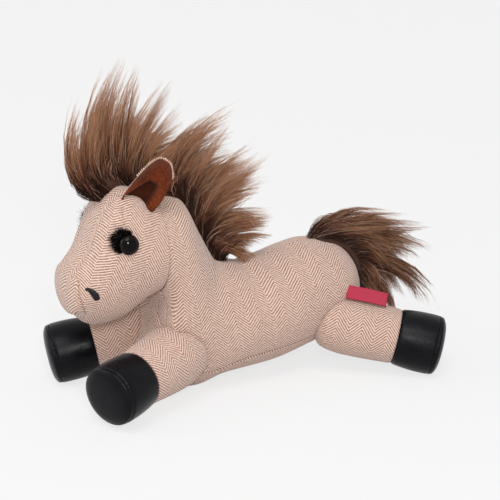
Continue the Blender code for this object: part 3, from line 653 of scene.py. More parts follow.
def mesh_object(name, points, faces, finish):
    mesh = bpy.data.meshes.new(name)
    mesh.from_pydata([tuple(p) for p in points], [], faces)
    mesh.polygons.foreach_set("use_smooth", [True] * len(mesh.polygons))
    mesh.materials.append(finish)
    mesh.update()
    return in_scene(name, mesh)


def grid_faces(rows, columns, wrap, start=0, flip=False):
    i, j = np.meshgrid(np.arange(rows - 1), np.arange(columns if wrap else columns - 1), indexing="ij")
    k = (j + 1) % columns
    quads = np.stack([i * columns + j, i * columns + k, (i + 1) * columns + k, (i + 1) * columns + j], -1)
    quads = quads.reshape(-1, 4) + start
    return [tuple(q) for q in (quads[:, ::-1] if flip else quads).tolist()]


def store_numbers(made, name, values):
    held = made.data.attributes.new(name, "FLOAT", "POINT")
    held.data.foreach_set("value", np.asarray(values, np.float32))


def store_cloth_map(made, place):
    """A cloth map in metres, from one place for each point of the mesh."""
    layer = made.data.uv_layers.new(name="cloth")
    corners = np.zeros(len(made.data.loops), int)
    made.data.loops.foreach_get("vertex_index", corners)
    layer.data.foreach_set("uv", np.asarray(place, np.float32)[corners].reshape(-1))


def bake_modifiers(made):
    """The object's shape after its modifiers, as a plain mesh."""
    graph = bpy.context.evaluated_depsgraph_get()
    mesh = bpy.data.meshes.new_from_object(made.evaluated_get(graph), depsgraph=graph)
    old = made.data
    made.modifiers.clear()
    made.data = mesh
    bpy.data.meshes.remove(old)
    return made


def thicken(made, thickness, offset=-1):
    """Gives a face its thickness, inwards, or with offset 0 to both sides."""
    wall = made.modifiers.new("cloth thickness", "SOLIDIFY")
    wall.thickness, wall.offset = thickness, offset
    return bake_modifiers(made)


def turned_out(made, inside):
    """Faces turned so that they look away from a point inside."""
    mesh = made.data
    centre, normal = np.zeros(len(mesh.polygons) * 3), np.zeros(len(mesh.polygons) * 3)
    mesh.polygons.foreach_get("center", centre)
    mesh.polygons.foreach_get("normal", normal)
    way = (centre.reshape(-1, 3) - np.array(inside)) * normal.reshape(-1, 3)
    if way.sum() < 0:
        mesh.flip_normals()
    return made


TWEED = tweed_material(herringbone_tweed())
LEATHER = leather_material()
SUEDE = suede_material()
GLAZE = eye_material()
MANE_FINISH = fur_material("mane_hair", "28110A", "76452F", "C08F6C", "E6C5AA")
TAIL_FINISH = fur_material("tail_hair", "34190E", "71452F", "AD8062", "E4CCB4")
# Dark like the hair's roots, and painted shade for the depth of the dense pile.
PILE_CORE_SHADE = grained_material(
    "pile_core_painted_shade", "281308", "492715", (300, 4.0, 0.6), (0.2, 0.8, 0.8, 1.0), 0.8 * MM, 1.0)
LASH = thread_material("lash_hair", "040404", "0B0A0A", 0.7, 0.06)
SATIN = thread_material("satin_thread", "08080A", "1C1C20", 0.42)
SEAM_THREAD = thread_material("seam_thread", "C9A890", "EBD2C0")
DARK_THREAD = thread_material("dark_thread", "141316", "26252A")
RIBBON = ribbon_material()
WASHER_PLASTIC = grained_material(
    "white_washer_plastic", "D8D8D3", "EAEAE6", (260, 3.0), (0.3, 0.7, 0.42, 0.58), 0.05 * MM, 0.6)


# Seams are lines on the forms: cloth dips along them, and puckers beside them.

def surface_of(form):
    """The form's outside, for finding places on it."""
    s = np.linspace(0, form.last, 90)
    phi = np.linspace(0, 2 * math.pi, 120, endpoint=False)
    points = form.place(s[:, None], phi[None, :]).reshape(-1, 3)
    return BVHTree.FromPolygons([Vector(p) for p in points], grid_faces(90, 120, True))


HEAD_SURFACE = surface_of(HEAD)
BODY_SURFACE = surface_of(BODY)


def seen_place(surface, x, y):
    """The place on a surface that the camera sees at a pixel of the picture."""
    right, back, up = look_axes()
    eye = LOOK_AT + back * LOOK_FROM
    reach = VIEW_WIDTH / PICTURE
    target = LOOK_AT + right * (x - PICTURE / 2) * reach + up * (PICTURE / 2 - y) * reach
    found = surface.ray_cast(eye, (target - eye).normalized())[0]
    if found is None:
        found = surface.find_nearest(target)[0]
    return np.array(found)


def seen_line(surface, *pixels):
    """A smooth line on a surface through places seen in the picture, and its mirror on the right side."""
    spots = np.array([seen_place(surface, x, y) for x, y in pixels])
    fine = curve_through(spots, np.linspace(0, len(spots) - 1, 8 * len(spots)))
    fine = np.array([surface.find_nearest(Vector(p))[0] for p in fine])
    return [fine, fine * np.array((1, -1, 1))]

RUN = np.linspace(0, 1, 90)
FACE_RUN = RUN * (HEAD.last - 2)
BELLY_RUN = RUN * GUSSET_END
HEAD_DARTS = seen_line(HEAD_SURFACE, (121.5, 205), (122.6, 212), (123.4, 219), (123.5, 226))
MUZZLE_SEAMS = seen_line(HEAD_SURFACE, (78.4, 281), (79, 293.4), (81.9, 304), (85.5, 315))
FACE_SEAMS = [HEAD.place(FACE_RUN, side * face_seam(FACE_RUN)) for side in (-1, 1)]
BELLY_SEAMS = [BODY.place(BELLY_RUN, side * belly_seam(BELLY_RUN)) for side in (-1, 1)]
BACK_SEAM = [BODY.place(RUN * (BODY.last - 1), 0)]
NECK_EDGE = [BODY.place(0, RUN * 2 * math.pi)]
FLANK_FOLDS = seen_line(BODY_SURFACE, (243, 264), (252, 276), (259, 295), (265, 312), (270, 326))
CHEST_SEAMS = seen_line(BODY_SURFACE, (155, 294), (157.4, 313), (163, 333))


def beside(far, reach, gap):
    """A share that is 0 on a seam, rises over the gap beside it, and dies off over its reach."""
    return np.exp(-far / reach) * (1 - np.exp(-far / gap))


def seam_shape(points, lines, depth, width, pucker, step, seed):
    """How far the cloth dips at each point for the seams, and how far each point is from the nearest one."""
    nearest = np.full(len(points), 9.0)
    dip = np.zeros(len(points))
    rng = np.random.default_rng(seed)
    for line in lines:
        far, along = line_distance(points, line)
        shift = rng.uniform(0, 6)
        wave = np.sin(2 * math.pi * along / step + shift + 1.3 * np.sin(along / step * 1.7))
        dip = np.minimum(dip, -depth * np.exp(-(far / width) ** 1.3))
        dip = dip + pucker * wave * beside(far, 3.2 * width, 0.6 * width)
        nearest = np.minimum(nearest, far)
    return dip, nearest


def leg_matrix(place, side, reach, turn, lift):
    """A leg's own space: X runs down the leg to the hoof."""
    place = Vector((place.x, side * place.y, place.z))
    height = place.z + REST_CUT - lift
    pitch = math.asin(height / math.hypot(reach, HOOF_SOLE_RADIUS)) - math.atan2(HOOF_SOLE_RADIUS, reach)
    return Matrix.Translation(place) @ Euler((0, pitch, math.radians(turn))).to_matrix().to_4x4()


def body_dips(points):
    """Dips and puckers where the four legs are sewn to the body."""
    dip, nearest = np.zeros(len(points)), np.full(len(points), 9.0)
    for k, (_, side, place, radius, reach, turn, lift) in enumerate(LEGS):
        local = put(points, leg_matrix(place, side, reach, turn, lift).inverted())
        far = np.abs(np.linalg.norm(local, axis=1) - radius)
        angle = np.arctan2(local[:, 1], local[:, 2])
        wave = np.sin(15 * angle + 2.2 * np.sin(3 * angle + k)) + 0.5 * np.sin(26 * angle + k)
        dip -= (1.5 if k < 2 else 0.8) * MM * np.exp(-far / (1.6 * MM))
        dip += 0.50 * MM * wave * beside(far, 5.5 * MM, 1.2 * MM)
        nearest = np.minimum(nearest, far)
    return dip, nearest


def let_out(points, axis, flat):
    """How much longer the cloth is than its flat side view, added up along one axis of its grid."""
    step = np.diff(points, axis=axis)
    extra = np.hypot(step[..., flat], step[..., 1]) - np.abs(step[..., flat])
    return np.concatenate([0 * extra.take([0], axis), np.cumsum(extra, axis)], axis)


def cloth_map(points, lean, turn):
    """Cloth places for a panel: a flat cut seen from the side, with the curve of the surface let out into it.
    points is a grid of rings by places round them."""
    along, around = let_out(points, 0, 0), let_out(points, 1, 2)
    rows, columns = len(points), points.shape[1]
    ahead = math.copysign(1, points[-1, :, 0].mean() - points[0, :, 0].mean())
    u = points[..., 0] + ahead * (along - along[rows // 2])
    v = points[..., 2] - (around - around[:, columns // 2][:, None])
    u = u + lean * v
    c, s = math.cos(turn), math.sin(turn)
    return np.stack([c * u - s * v, s * u + c * v], -1)


def strip_map(points):
    """Cloth places for a narrow strip: across it from the middle, and along it."""
    middle = points.shape[1] // 2
    across = np.cumsum(np.linalg.norm(np.diff(points, axis=1), axis=-1), 1)
    across = np.concatenate([np.zeros((len(points), 1)), across], 1)
    along = np.repeat(run_along(points[:, middle])[:, None], points.shape[1], 1)
    return np.stack([across - across[:, middle][:, None], along], -1)


def wrap_front(points, place, line, axis_x, radius):
    """Cloth places in front of a seam: a cut of its own, wrapped round an upright axis."""
    order = np.argsort(line[:, 2])
    edge = np.interp(points[..., 2], line[order, 2], line[order, 0])
    angle = np.arctan2(points[..., 1], axis_x - points[..., 0])
    own = np.stack([np.abs(angle) * radius + 2 * MM, points[..., 2] * 1.05], -1)
    front = (points[..., 0] < edge) & (points[..., 2] < line[:, 2].max() + 2 * MM)
    return np.where(front[..., None], own, place)


def panel(name, form, s, low, high, columns, weave):
    """A cut piece of cloth on a form, between the angles low and high at each ring s, shaped and thick.
    weave is the lean and the turn of its columns. A narrow strip has none, and its columns run along it."""
    phi = low[:, None] + (high - low)[:, None] * np.linspace(0, 1, columns)
    points, out = form.place(s[:, None], phi), form.out(s[:, None], phi)
    if weave is None:
        place = strip_map(points)
    else:
        front = (MUZZLE_SEAMS[0], MUZZLE_AXIS_X) if form is HEAD else (CHEST_SEAMS[0], CHEST_AXIS_X)
        place = wrap_front(points, cloth_map(points, *weave), *front, FRONT_RADIUS)
    dip, near = (head_shape if form is HEAD else body_shape)(points.reshape(-1, 3))
    near = near.reshape(len(s), columns)
    shaped = points + out * dip.reshape(len(s), columns, 1)
    shaped[..., 2] = np.maximum(shaped[..., 2], 0.3 * MM)
    if form is HEAD:
        lip = head_lip(phi[0])
        shaped = np.concatenate([lip, shaped])
        near = np.concatenate([np.zeros(lip.shape[:2]), near])
        place = np.concatenate([np.repeat(place[:1], len(lip), 0), place])
    made = mesh_object(name, shaped.reshape(-1, 3), grid_faces(len(shaped), columns, False), TWEED)
    # How far each point is from a seam, for the painted shade along seams.
    store_numbers(made, "seam", np.minimum(near.reshape(-1) / MM, SEAM_SEEN))
    store_cloth_map(made, place.reshape(-1, 2))
    turned_out(made, points.reshape(-1, 3).mean(0))
    return thicken(made, CLOTH)


def body_shape(points):
    dip, near = seam_shape(points, [*BELLY_SEAMS, *CHEST_SEAMS], 1.1 * MM, 1.0 * MM, 0.26 * MM, 5.5 * MM, 4)
    back, _ = seam_shape(points, BACK_SEAM, 0.45 * MM, 1.0 * MM, 0.1 * MM, 6 * MM, 5)
    folds, _ = seam_shape(points, FLANK_FOLDS, 2.4 * MM, 4.8 * MM, 0, 9 * MM, 6)
    edge, edge_near = seam_shape(points, NECK_EDGE, 0.15 * MM, 1.3 * MM, 0.15 * MM, 7 * MM, 9)
    legs, leg_near = body_dips(points)
    swell = 0.5 * MM * smooth_noise(points, 0.034, 3) + 0.18 * MM * smooth_noise(points, 0.011, 5)
    off_floor = np.clip((points[:, 2] - 1 * MM) / (9 * MM), 0, 1)
    near = np.minimum(np.minimum(near, edge_near), leg_near)
    return dip + back + folds + edge + legs + swell * off_floor, near


def head_shape(points):
    dip, near = seam_shape(points, [*HEAD_DARTS, *MUZZLE_SEAMS], 0.9 * MM, 1.0 * MM, 0.2 * MM, 4.5 * MM, 14)
    face, _ = seam_shape(points, FACE_SEAMS, 0.35 * MM, 1.2 * MM, 0.1 * MM, 6 * MM, 15)
    neck = np.abs(points[:, 0] - SEAM_X)
    edge = -0.15 * MM * np.exp(-neck / (1.6 * MM))
    swell = 0.35 * MM * smooth_noise(points, 0.03, 23) + 0.12 * MM * smooth_noise(points, 0.010, 25)
    far = np.hypot(points[:, 0] - EYE_X, points[:, 2] - EYE_Z)
    socket = -1.0 * MM * np.exp(-(far / (EYE_RADIUS * 1.25)) ** 4)
    return dip + face + edge + swell + socket, np.minimum(near, neck * 1.4)


def head_lip(phi):
    """The head's hidden edge, which goes on round the seat inside the neck, as rings from the inside out."""
    radius = math.hypot(SEAM_X - HEAD_PIVOT.x, SEAM_RADIUS) - 0.7 * MM
    turn = np.radians([36, 42, 48, 54, 60])[:, None]
    size = radius * np.sin(turn)
    x = HEAD_PIVOT.x + radius * np.cos(turn) + 0 * phi
    return np.stack([x, -size * np.sin(phi), SEAM_Z + size * np.cos(phi)], -1)


def make_covers():
    back, belly = np.linspace(0, BODY.last, 184), np.linspace(0, GUSSET_END, 200)
    face = np.concatenate([np.linspace(0, 1, 40), np.linspace(1, HEAD.last, 150)[1:]])
    side, hem, edge = belly_seam(back), belly_seam(belly), face_seam(face)
    for name, form, s, low, high, columns, weave, inside in (
        ("body_panel_left", BODY, back, 0 * back, side, 110, BODY_WEAVE, []),
        ("body_panel_right", BODY, back, 0 * back, -side, 110, BODY_WEAVE, []),
        ("belly_gusset", BODY, belly, hem, 2 * math.pi - hem, 60, None, ["body_stuffing"]),
        ("head_panel_left", HEAD, face, edge, 0 * face + math.pi, 112, HEAD_WEAVE, []),
        ("head_panel_right", HEAD, face, -edge, 0 * face - math.pi, 112, HEAD_WEAVE, []),
        ("face_panel", HEAD, face, -edge, edge, 44, None, ["head_stuffing"]),
    ):
        piece = panel(f"{name}_cloth", form, s, low, high, columns, weave)
        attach(piece, "head" if form is HEAD else "torso")
        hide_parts(name, *inside)


# Stitches: each guide line is a seam, and the node tree lays a row of short threads along it.

def painted(s, made, finish):
    """The end of each tree that makes pieces: smooth, real, and of one finish."""
    made = s.node("GeometryNodeSetShadeSmooth", {"Geometry": made}).outputs[0]
    made = s.node("GeometryNodeRealizeInstances", {0: made}).outputs[0]
    return s.node("GeometryNodeSetMaterial", {"Geometry": made, "Material": finish}).outputs[0]


def stitch_tree():
    """A thread at each step along the guide lines, turned with the line and slightly uneven."""
    tree, s, start, end = node_group(
        "GeometryNodeTree", "stitches_from_guides",
        {"Guides": "Geometry", "Stitches in a row": "Int", "Stitch size": "Vector", "Seed": "Int",
         "Finish": "Material"},
        {"Stitches": "Geometry"},
    )
    curve = s.node("GeometryNodeMeshToCurve", {0: start["Guides"]}).outputs[0]
    feeds = {"Curve": curve, "Count": start["Stitches in a row"]}
    spots = s.node("GeometryNodeCurveToPoints", feeds, mode="COUNT").outputs
    thread = s.node("GeometryNodeMeshUVSphere", {"Segments": 8, "Rings": 5, "Radius": 1.0}).outputs[0]
    feeds = {2: 0.82, 3: 1.14, "Seed": start["Seed"]}
    uneven = s.node("FunctionNodeRandomValue", feeds, data_type="FLOAT").outputs[1]
    placed = s.node("GeometryNodeInstanceOnPoints", {
        "Points": spots["Points"], "Instance": thread, "Rotation": spots["Rotation"],
        "Scale": s.vector("SCALE", start["Stitch size"], uneven),
    }).outputs[0]
    s.feed(end["Stitches"], painted(s, placed, start["Finish"]))
    return tree


STITCHES = stitch_tree()


def grown(name, lines, tree, values):
    """A plain mesh of what a node tree makes from guide lines."""
    points, edges = [], []
    for line in lines:
        first = len(points)
        points += [tuple(p) for p in line]
        edges += [(first + k, first + k + 1) for k in range(len(line) - 1)]
    mesh = bpy.data.meshes.new(name)
    mesh.from_pydata(points, edges, [])
    made = in_scene(name, mesh)
    maker = made.modifiers.new("maker", "NODES")
    maker.node_group = tree
    for socket in tree.interface.items_tree:
        if socket.in_out == "INPUT" and socket.name in values:
            maker[socket.identifier] = values[socket.name]
    return bake_modifiers(made)


def stitch_row(name, line, finish, step, size, seed):
    count = int(run_along(line)[-1] / step)
    values = {"Stitches in a row": count, "Stitch size": size, "Seed": seed, "Finish": finish}
    return grown(name, [line], STITCHES, values)


# Legs and hooves.

def turned_points(profile, count, matrix, shape=None):
    """Rings about a leg's axis, put in place. shape gives what is added to the radius: shape(x, angle, radius)."""
    turn = np.repeat(np.linspace(0, 2 * math.pi, count, endpoint=False)[None, :], len(profile), 0)
    x = np.repeat(profile[:, :1], count, 1)
    r = np.repeat(profile[:, 1:], count, 1)
    if shape is not None:
        r = r + shape(x, turn, r)
    return put(np.stack([x, -r * np.sin(turn), r * np.cos(turn)], -1), matrix), turn


def closed_turned(name, points, finish, tips):
    """A turned form closed at each end that has a tip point."""
    rows, count = points.shape[:2]
    flat = [tuple(p) for p in points.reshape(-1, 3)]
    faces = grid_faces(rows, count, True)
    for tip, first in zip(tips, (0, (rows - 1) * count)):
        if tip is not None:
            flat.append(tuple(tip))
            ring = [(first + j, first + (j + 1) % count) for j in range(count)]
            faces += [(*(pair if first else pair[::-1]), len(flat) - 1) for pair in ring]
    made = mesh_object(name, flat, faces, finish)
    turned_out(made, points.reshape(-1, 3).mean(0))
    return made


def leg_outline(radius, top):
    rows = [(-radius * math.sin(math.radians(d)), radius * math.cos(math.radians(d))) for d in BALL_DEGREES]
    rows += [(a * top, HOOF_TOP_RADIUS + (radius - HOOF_TOP_RADIUS) * b) for a, b in LEG_SHARES]
    rows.append((top, HOOF_TOP_RADIUS))
    return curve_through(rows, np.linspace(0, len(rows) - 1, 92))


def body_depth(points):
    """How far each point is outside the body's surface, and below 0 inside it."""
    depth = np.zeros(len(points))
    for k, p in enumerate(points):
        found = BODY_SURFACE.find_nearest(Vector(p))[0]
        depth[k] = (Vector(p) - found).length
        middle = np.array((p[0], 0, 50 * MM))
        ours, surface = np.array(p) - middle, np.array(found) - middle
        if ours @ ours < surface @ surface:
            depth[k] = -depth[k]
    return depth


def round_noise(x, angle, r, size, seed):
    """Soft swelling for turned points."""
    local = np.stack([x, r * np.sin(angle), r * np.cos(angle)], -1)
    return smooth_noise(local.reshape(-1, 3), size, seed).reshape(x.shape)


def make_leg(index, name, side, place, radius, reach, turn, lift):
    matrix = leg_matrix(place, side, reach, turn, lift)
    body = f"leg_{name}_limb"
    top = reach - HOOF_LENGTH
    profile = leg_outline(radius, top)
    bare, _ = turned_points(profile, ROUND, matrix)
    depth = body_depth(bare.reshape(-1, 3)).reshape(bare.shape[:2])
    far = np.abs(depth)

    def cover_shape(x, angle, r):
        wave = np.sin(13 * angle + 1.8 * np.sin(2 * angle + index)) + 0.6 * np.sin(22 * angle + 2 * index)
        root = (-1.3 if index < 2 else -0.7) * MM * np.exp(-far / (1.5 * MM))
        root = root + 0.55 * MM * wave * beside(far, 6 * MM, 1.2 * MM)
        end = top - x
        gather = np.sin(34 * angle + 2.5 * np.sin(3 * angle + index))
        cuff = -1.0 * MM * np.exp(-end / (1.1 * MM)) + 0.14 * MM * gather * np.exp(-end / (4 * MM))
        return root + cuff + 0.45 * MM * round_noise(x, angle, r, 0.028, 40 + index)

    def band_shape(x, angle, r):
        start, end = x - top, reach - x
        edge = -1.1 * MM * np.exp(-start / (0.8 * MM)) - 0.9 * MM * np.exp(-end / (0.7 * MM))
        bulge = 0.7 * MM * np.sin(math.pi * np.clip(start / (reach - top), 0, 1))
        dent = 0.35 * MM * round_noise(x, angle, r, 0.02, 60 + index)
        crease = np.sin(26 * angle + 3 * np.sin(2 * angle + index)) * 0.10 * MM
        return edge + bulge + dent + crease * (np.exp(-start / (3 * MM)) + np.exp(-end / (2.5 * MM)))

    def sole_shape(x, angle, r):
        size = np.clip(r / HOOF_SOLE_RADIUS, 0, 1)
        edge = -0.9 * MM * np.exp(-(x - reach) / (0.6 * MM))
        return edge * (size > 0.9) + 0.12 * MM * np.sin(30 * angle + index) * np.exp(-(x - reach) / (1.5 * MM)) * size

    points, angle = turned_points(profile, ROUND, matrix, cover_shape)
    points[..., 2] = np.maximum(points[..., 2], 0.4 * MM)
    tip = matrix @ Vector((-radius, 0, 0))
    cover = closed_turned(f"leg_{name}_cover_cloth", points, TWEED, (tip, None))
    along = np.repeat(run_along(profile)[:, None], ROUND, 1)
    across = (angle - math.pi * (angle > math.pi) * 2) * SLEEVE_RADIUS
    store_cloth_map(cover, np.concatenate([np.stack([along, across], -1).reshape(-1, 2), [[0, 0]]]))
    mend_wrap(cover, SLEEVE_RADIUS * 2 * math.pi)
    # How far each point is from the body and from the cuff, for the painted shade where the leg meets them.
    near = np.minimum(far, top - profile[:, :1]) / MM
    store_numbers(cover, "seam", np.append(np.minimum(near, SEAM_SEEN), SEAM_SEEN))
    thicken(cover, CLOTH)
    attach(cover, body)
    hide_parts(f"leg_{name}_cover", f"leg_{name}_stuffing")

    middle = ((top + reach) / 2, (HOOF_TOP_RADIUS + HOOF_SOLE_RADIUS) / 2)
    band = [(top, HOOF_TOP_RADIUS), middle, (reach, HOOF_SOLE_RADIUS)]
    sole = [(reach, HOOF_SOLE_RADIUS)] + [(reach + a * SOLE_DEPTH, b * HOOF_SOLE_RADIUS) for a, b in SOLE_SHARES]
    tip = matrix @ Vector((reach + SOLE_DEPTH, 0, 0))
    for part, rows, rings, shape, end in (
        ("hoof_band", band, 40, band_shape, None), ("hoof_sole", sole, 38, sole_shape, tip),
    ):
        profile = curve_through(rows, np.linspace(0, len(rows) - 1, rings))
        points, _ = turned_points(profile, ROUND, matrix, shape)
        flatten(points)
        piece = closed_turned(f"leg_{name}_{part}_leather", points, LEATHER, (None, end))
        thicken(piece, LEATHER_THICKNESS)
        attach(piece, body)
        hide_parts(f"leg_{name}_{part}")

    turns = np.linspace(0, 2 * math.pi, 121)
    ring = HOOF_SOLE_RADIUS - 0.5 * MM
    seam = put(np.stack([0 * turns + reach, -np.sin(turns) * ring, np.cos(turns) * ring], -1), matrix)
    seam[:, 2] = np.maximum(seam[:, 2], 1.6 * MM)
    stitch = (0.4 * MM, 0.4 * MM, 0.95 * MM)
    row = stitch_row(f"leg_{name}_hoof_stitches", seam, DARK_THREAD, 2.3 * MM, stitch, 30 + index)
    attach(row, body)


def flatten(points):
    """Presses what would be under the floor flat on it."""
    low = 0.9 * MM
    up = points[..., 2]
    up = np.where(up < low, low - (low - up) * 0.03, up)
    points[..., 2] = np.maximum(up, 0.1 * MM)


def mend_wrap(made, turn):
    """Closes the cloth map where a turned piece meets itself, so that no face runs back across it."""
    layer = made.data.uv_layers["cloth"].data
    uv = np.zeros(len(layer) * 2, np.float32)
    layer.foreach_get("uv", uv)
    uv = uv.reshape(-1, 2)
    for face in made.data.polygons:
        ids = list(face.loop_indices)
        v = uv[ids, 1]
        if v.max() - v.min() > turn / 2:
            uv[ids, 1] = np.where(v < v.mean(), v + turn, v)
    layer.foreach_set("uv", uv.reshape(-1))


# Ears.

def ear_frame(side):
    ends = []
    for x, y in (EAR_FRONT, EAR_REAR):
        ends.append(HEAD_SURFACE.ray_cast(Vector((x, side * y, 0.3)), Vector((0, 0, -1)))[0])
    base = ends[1] - ends[0]
    lean, face = math.atan2(-base.z, math.hypot(base.x, base.y)), math.atan2(base.y, base.x)
    turn = Euler((math.radians(-side * EAR_OUT), lean, face)).to_matrix().to_4x4()
    return Matrix.Translation((ends[0] + ends[1]) / 2) @ turn


def ear_fold(u, up):
    """Where an ear's cloth is tucked in under its folded front: 1 in the tuck, 0 on the fold. The same mask paints
    shade into the lining there, as the hollow's shadow.
    """
    line = 0.44 * np.clip((u + 1) / 0.9, 0, 1) ** 0.8
    tuck_and_shade = np.clip((line - up) / 0.08 + 0.5, 0, 1) * np.clip((0.62 - u) / 0.26, 0, 1) * (up > 0.02)
    return tuck_and_shade * tuck_and_shade * (3 - 2 * tuck_and_shade)


def ear_face(side, depth, inset, rows, columns):
    """One face of an ear in its own space, and its tuck, which also masks the lining's painted shade: X along the
    base, Z up the ear, hollow on the outside.
    """
    shares = curve_through(EAR_SHARES, np.linspace(0, len(EAR_SHARES) - 1, rows))
    up, wide, cup, shift = (shares[:, k][:, None] for k in range(4))
    u = np.linspace(-1, 1, columns)[None, :]
    tuck_and_shade = ear_fold(u, up)
    hollow = (cup - EAR_SHARES[0][2]) * EAR_CUP * (1 - u * u) + TUCK_DEPTH * tuck_and_shade
    x = u * np.maximum(wide * EAR_WIDTH / 2 - inset, 0.3 * MM) + shift * EAR_WIDTH
    z = np.repeat(up * (EAR_HEIGHT - inset), columns, 1)
    sheet = np.stack([x, -side * (hollow + depth), z], -1)
    sheet[..., 1] += 0.35 * MM * smooth_noise(sheet.reshape(-1, 3), 0.014, 70).reshape(rows, columns)
    return sheet, tuck_and_shade


def closed_sheet(name, outer, inner, finish):
    """A piece of cloth between two faces of the same grid, closed round its edge."""
    rows, columns = outer.shape[:2]
    count = rows * columns
    faces = grid_faces(rows, columns, False) + grid_faces(rows, columns, False, count, True)
    edge = list(range(columns))
    edge += [i * columns + columns - 1 for i in range(1, rows)]
    edge += [(rows - 1) * columns + j for j in range(columns - 2, -1, -1)]
    edge += [i * columns for i in range(rows - 2, 0, -1)]
    faces += [(b, a, a + count, b + count) for a, b in zip(edge, edge[1:] + edge[:1])]
    made = mesh_object(name, np.concatenate([outer.reshape(-1, 3), inner.reshape(-1, 3)]), faces, finish)
    mended = bmesh.new()
    mended.from_mesh(made.data)
    bmesh.ops.recalc_face_normals(mended, faces=mended.faces)
    mended.to_mesh(made.data)
    mended.free()
    return made


def make_ears():
    rows, columns = 60, 41
    across, upward = np.linspace(-1, 1, columns), np.linspace(0, 1, rows)[:, None]
    thin = (1 - 0.8 * np.maximum(np.abs(across) ** 14, upward ** 30))[..., None]
    for side, name in ((-1, "left"), (1, "right")):
        matrix = ear_frame(side)
        for part, finish, near, inset, slot in (
            ("back", TWEED, GAP / 2, 0, "tweed"), ("lining", SUEDE, -GAP / 2 - CLOTH, LINING_INSET, "suede"),
        ):
            (first, tuck_and_shade), (second, _) = (ear_face(side, near + depth, inset, rows, columns) for depth in (0, CLOTH))
            middle = (first + second) / 2
            sheets = [middle + (sheet - middle) * thin for sheet in (first, second)]
            made = closed_sheet(f"ear_{name}_{part}_cloth", *(put(sheet, matrix) for sheet in sheets), finish)
            place = np.concatenate([sheet[..., [2, 0]].reshape(-1, 2) for sheet in sheets])
            store_cloth_map(made, place)
            store_numbers(made, "seam", np.full(len(place), SEAM_SEEN))
            # The tuck mask is kept on both sheets, and the lining reads it for its painted shade.
            store_numbers(made, "tuck_and_shade", np.tile(tuck_and_shade.reshape(-1), 2))
            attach(made, f"{name}_ear")
            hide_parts(f"ear_{name}_{part}")
            if part == "back":
                line = put(np.concatenate([middle[26:, 0], middle[-1, 1:-1], middle[:34:-1, -1]]), matrix)
        stitch = (1.1 * MM, 1.1 * MM, 0.36 * MM)
        rim = stitch_row(f"ear_{name}_rim_stitches", line, SEAM_THREAD, 1.55 * MM, stitch, 3)
        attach(rim, f"{name}_ear")


# Eyes, lashes and nostrils.

def side_place(surface, x, z):
    """The place at the toy's left side at x and z, and the way out of the surface there."""
    place, out, _, _ = surface.ray_cast(Vector((x, -0.2, z)), Vector((0, 1, 0)))
    return place, out if out.y < 0 else -out


def spot_frame(place, out, side):
    """A space on the surface with X out of it and Z up. side mirrors it to the right."""
    place, out = Vector(place), Vector(out)
    if side > 0:
        place.y, out.y = -place.y, -out.y
    across = Vector((0, 0, 1)).cross(out).normalized()
    turn = Matrix((out, across, out.cross(across))).transposed()
    return Matrix.Translation(place) @ turn.to_4x4()


def make_eyes():
    """A glossy dome on a stem that goes through the face into its washer."""
    place, out = side_place(HEAD_SURFACE, EYE_X, EYE_Z)
    rows = [
        (-STEM_LENGTH, 0.02 * MM), (-STEM_LENGTH, STEM_RADIUS), (-1.6 * MM, STEM_RADIUS),
        (-1.4 * MM, EYE_RADIUS * 0.9), (-0.8 * MM, EYE_RADIUS),
    ]
    for d in range(6, 90, 6):
        turn = math.radians(d)
        rows.append((EYE_HEIGHT * math.sin(turn), EYE_RADIUS * 0.985 * math.cos(turn) ** 0.94))
    for side, name in ((-1, "left"), (1, "right")):
        matrix = spot_frame(place, out, side)
        points, _ = turned_points(np.array(rows), 72, matrix)
        tips = [matrix @ Vector((x, 0, 0)) for x in (-STEM_LENGTH, EYE_HEIGHT)]
        eye = closed_turned(f"eye_{name}_dome", points, GLAZE, tips)
        store_numbers(eye, "rim", [*np.repeat([r / EYE_RADIUS for _, r in rows], 72), 1, 0])
        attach(eye, "head")
        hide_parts(f"eye_{name}")


def on_head(matrix, height, angle, radius, side):
    """A place on the head at an angle and radius about a spot, at a height over the cloth, and the way out there."""
    flat = matrix @ Vector((0, side * radius * math.cos(angle), radius * math.sin(angle)))
    found, out, _, _ = HEAD_SURFACE.find_nearest(flat)
    if out.dot(matrix.to_3x3() @ Vector((1, 0, 0))) < 0:
        out = -out
    return np.array(found + out * height), np.array(out)


def make_lashes():
    """Short fine hairs in a thick crescent over the upper front of each eye."""
    place, out = side_place(HEAD_SURFACE, EYE_X, EYE_Z)
    t = np.linspace(0, 1, 5)[:, None]
    for side, name in ((-1, "left"), (1, "right")):
        matrix = spot_frame(place, out, side)
        rng = np.random.default_rng(81 + side)
        lines = []
        for _ in range(LASHES):
            share = rng.uniform(0, 1)
            angle = math.radians(-44 + 150 * share)
            wide = math.sin(math.pi * min(max(share, 0.02), 0.98)) ** 0.8
            near = EYE_RADIUS + (-0.8 + 6.6 * rng.uniform() ** 1.35) * MM * wide ** 1.8
            root, way = on_head(matrix, 0.0, angle, near, side)
            lean = math.radians(rng.normal(0, 12))
            far, _ = on_head(matrix, 0.0, angle + lean, near + 5 * MM, side)
            size = rng.uniform(2.0, 6.0) * MM * (0.3 + 0.7 * wide) * (1.75 if rng.uniform() < 0.2 else 1)
            along = (far - root) / np.linalg.norm(far - root)
            lift = rng.uniform(0.12, 0.8)
            lines.append(root - way * 0.4 * MM + size * (along * t + way * (lift * t + 0.25 * t * (1 - t))))
        lashes = strand_piece(f"eyelashes_{name}_hair", lines, LASH, 1, 0.0, LASH_RADIUS, 0.0, 5 + side)
        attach(lashes, "head")
        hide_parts(f"eyelashes_{name}")


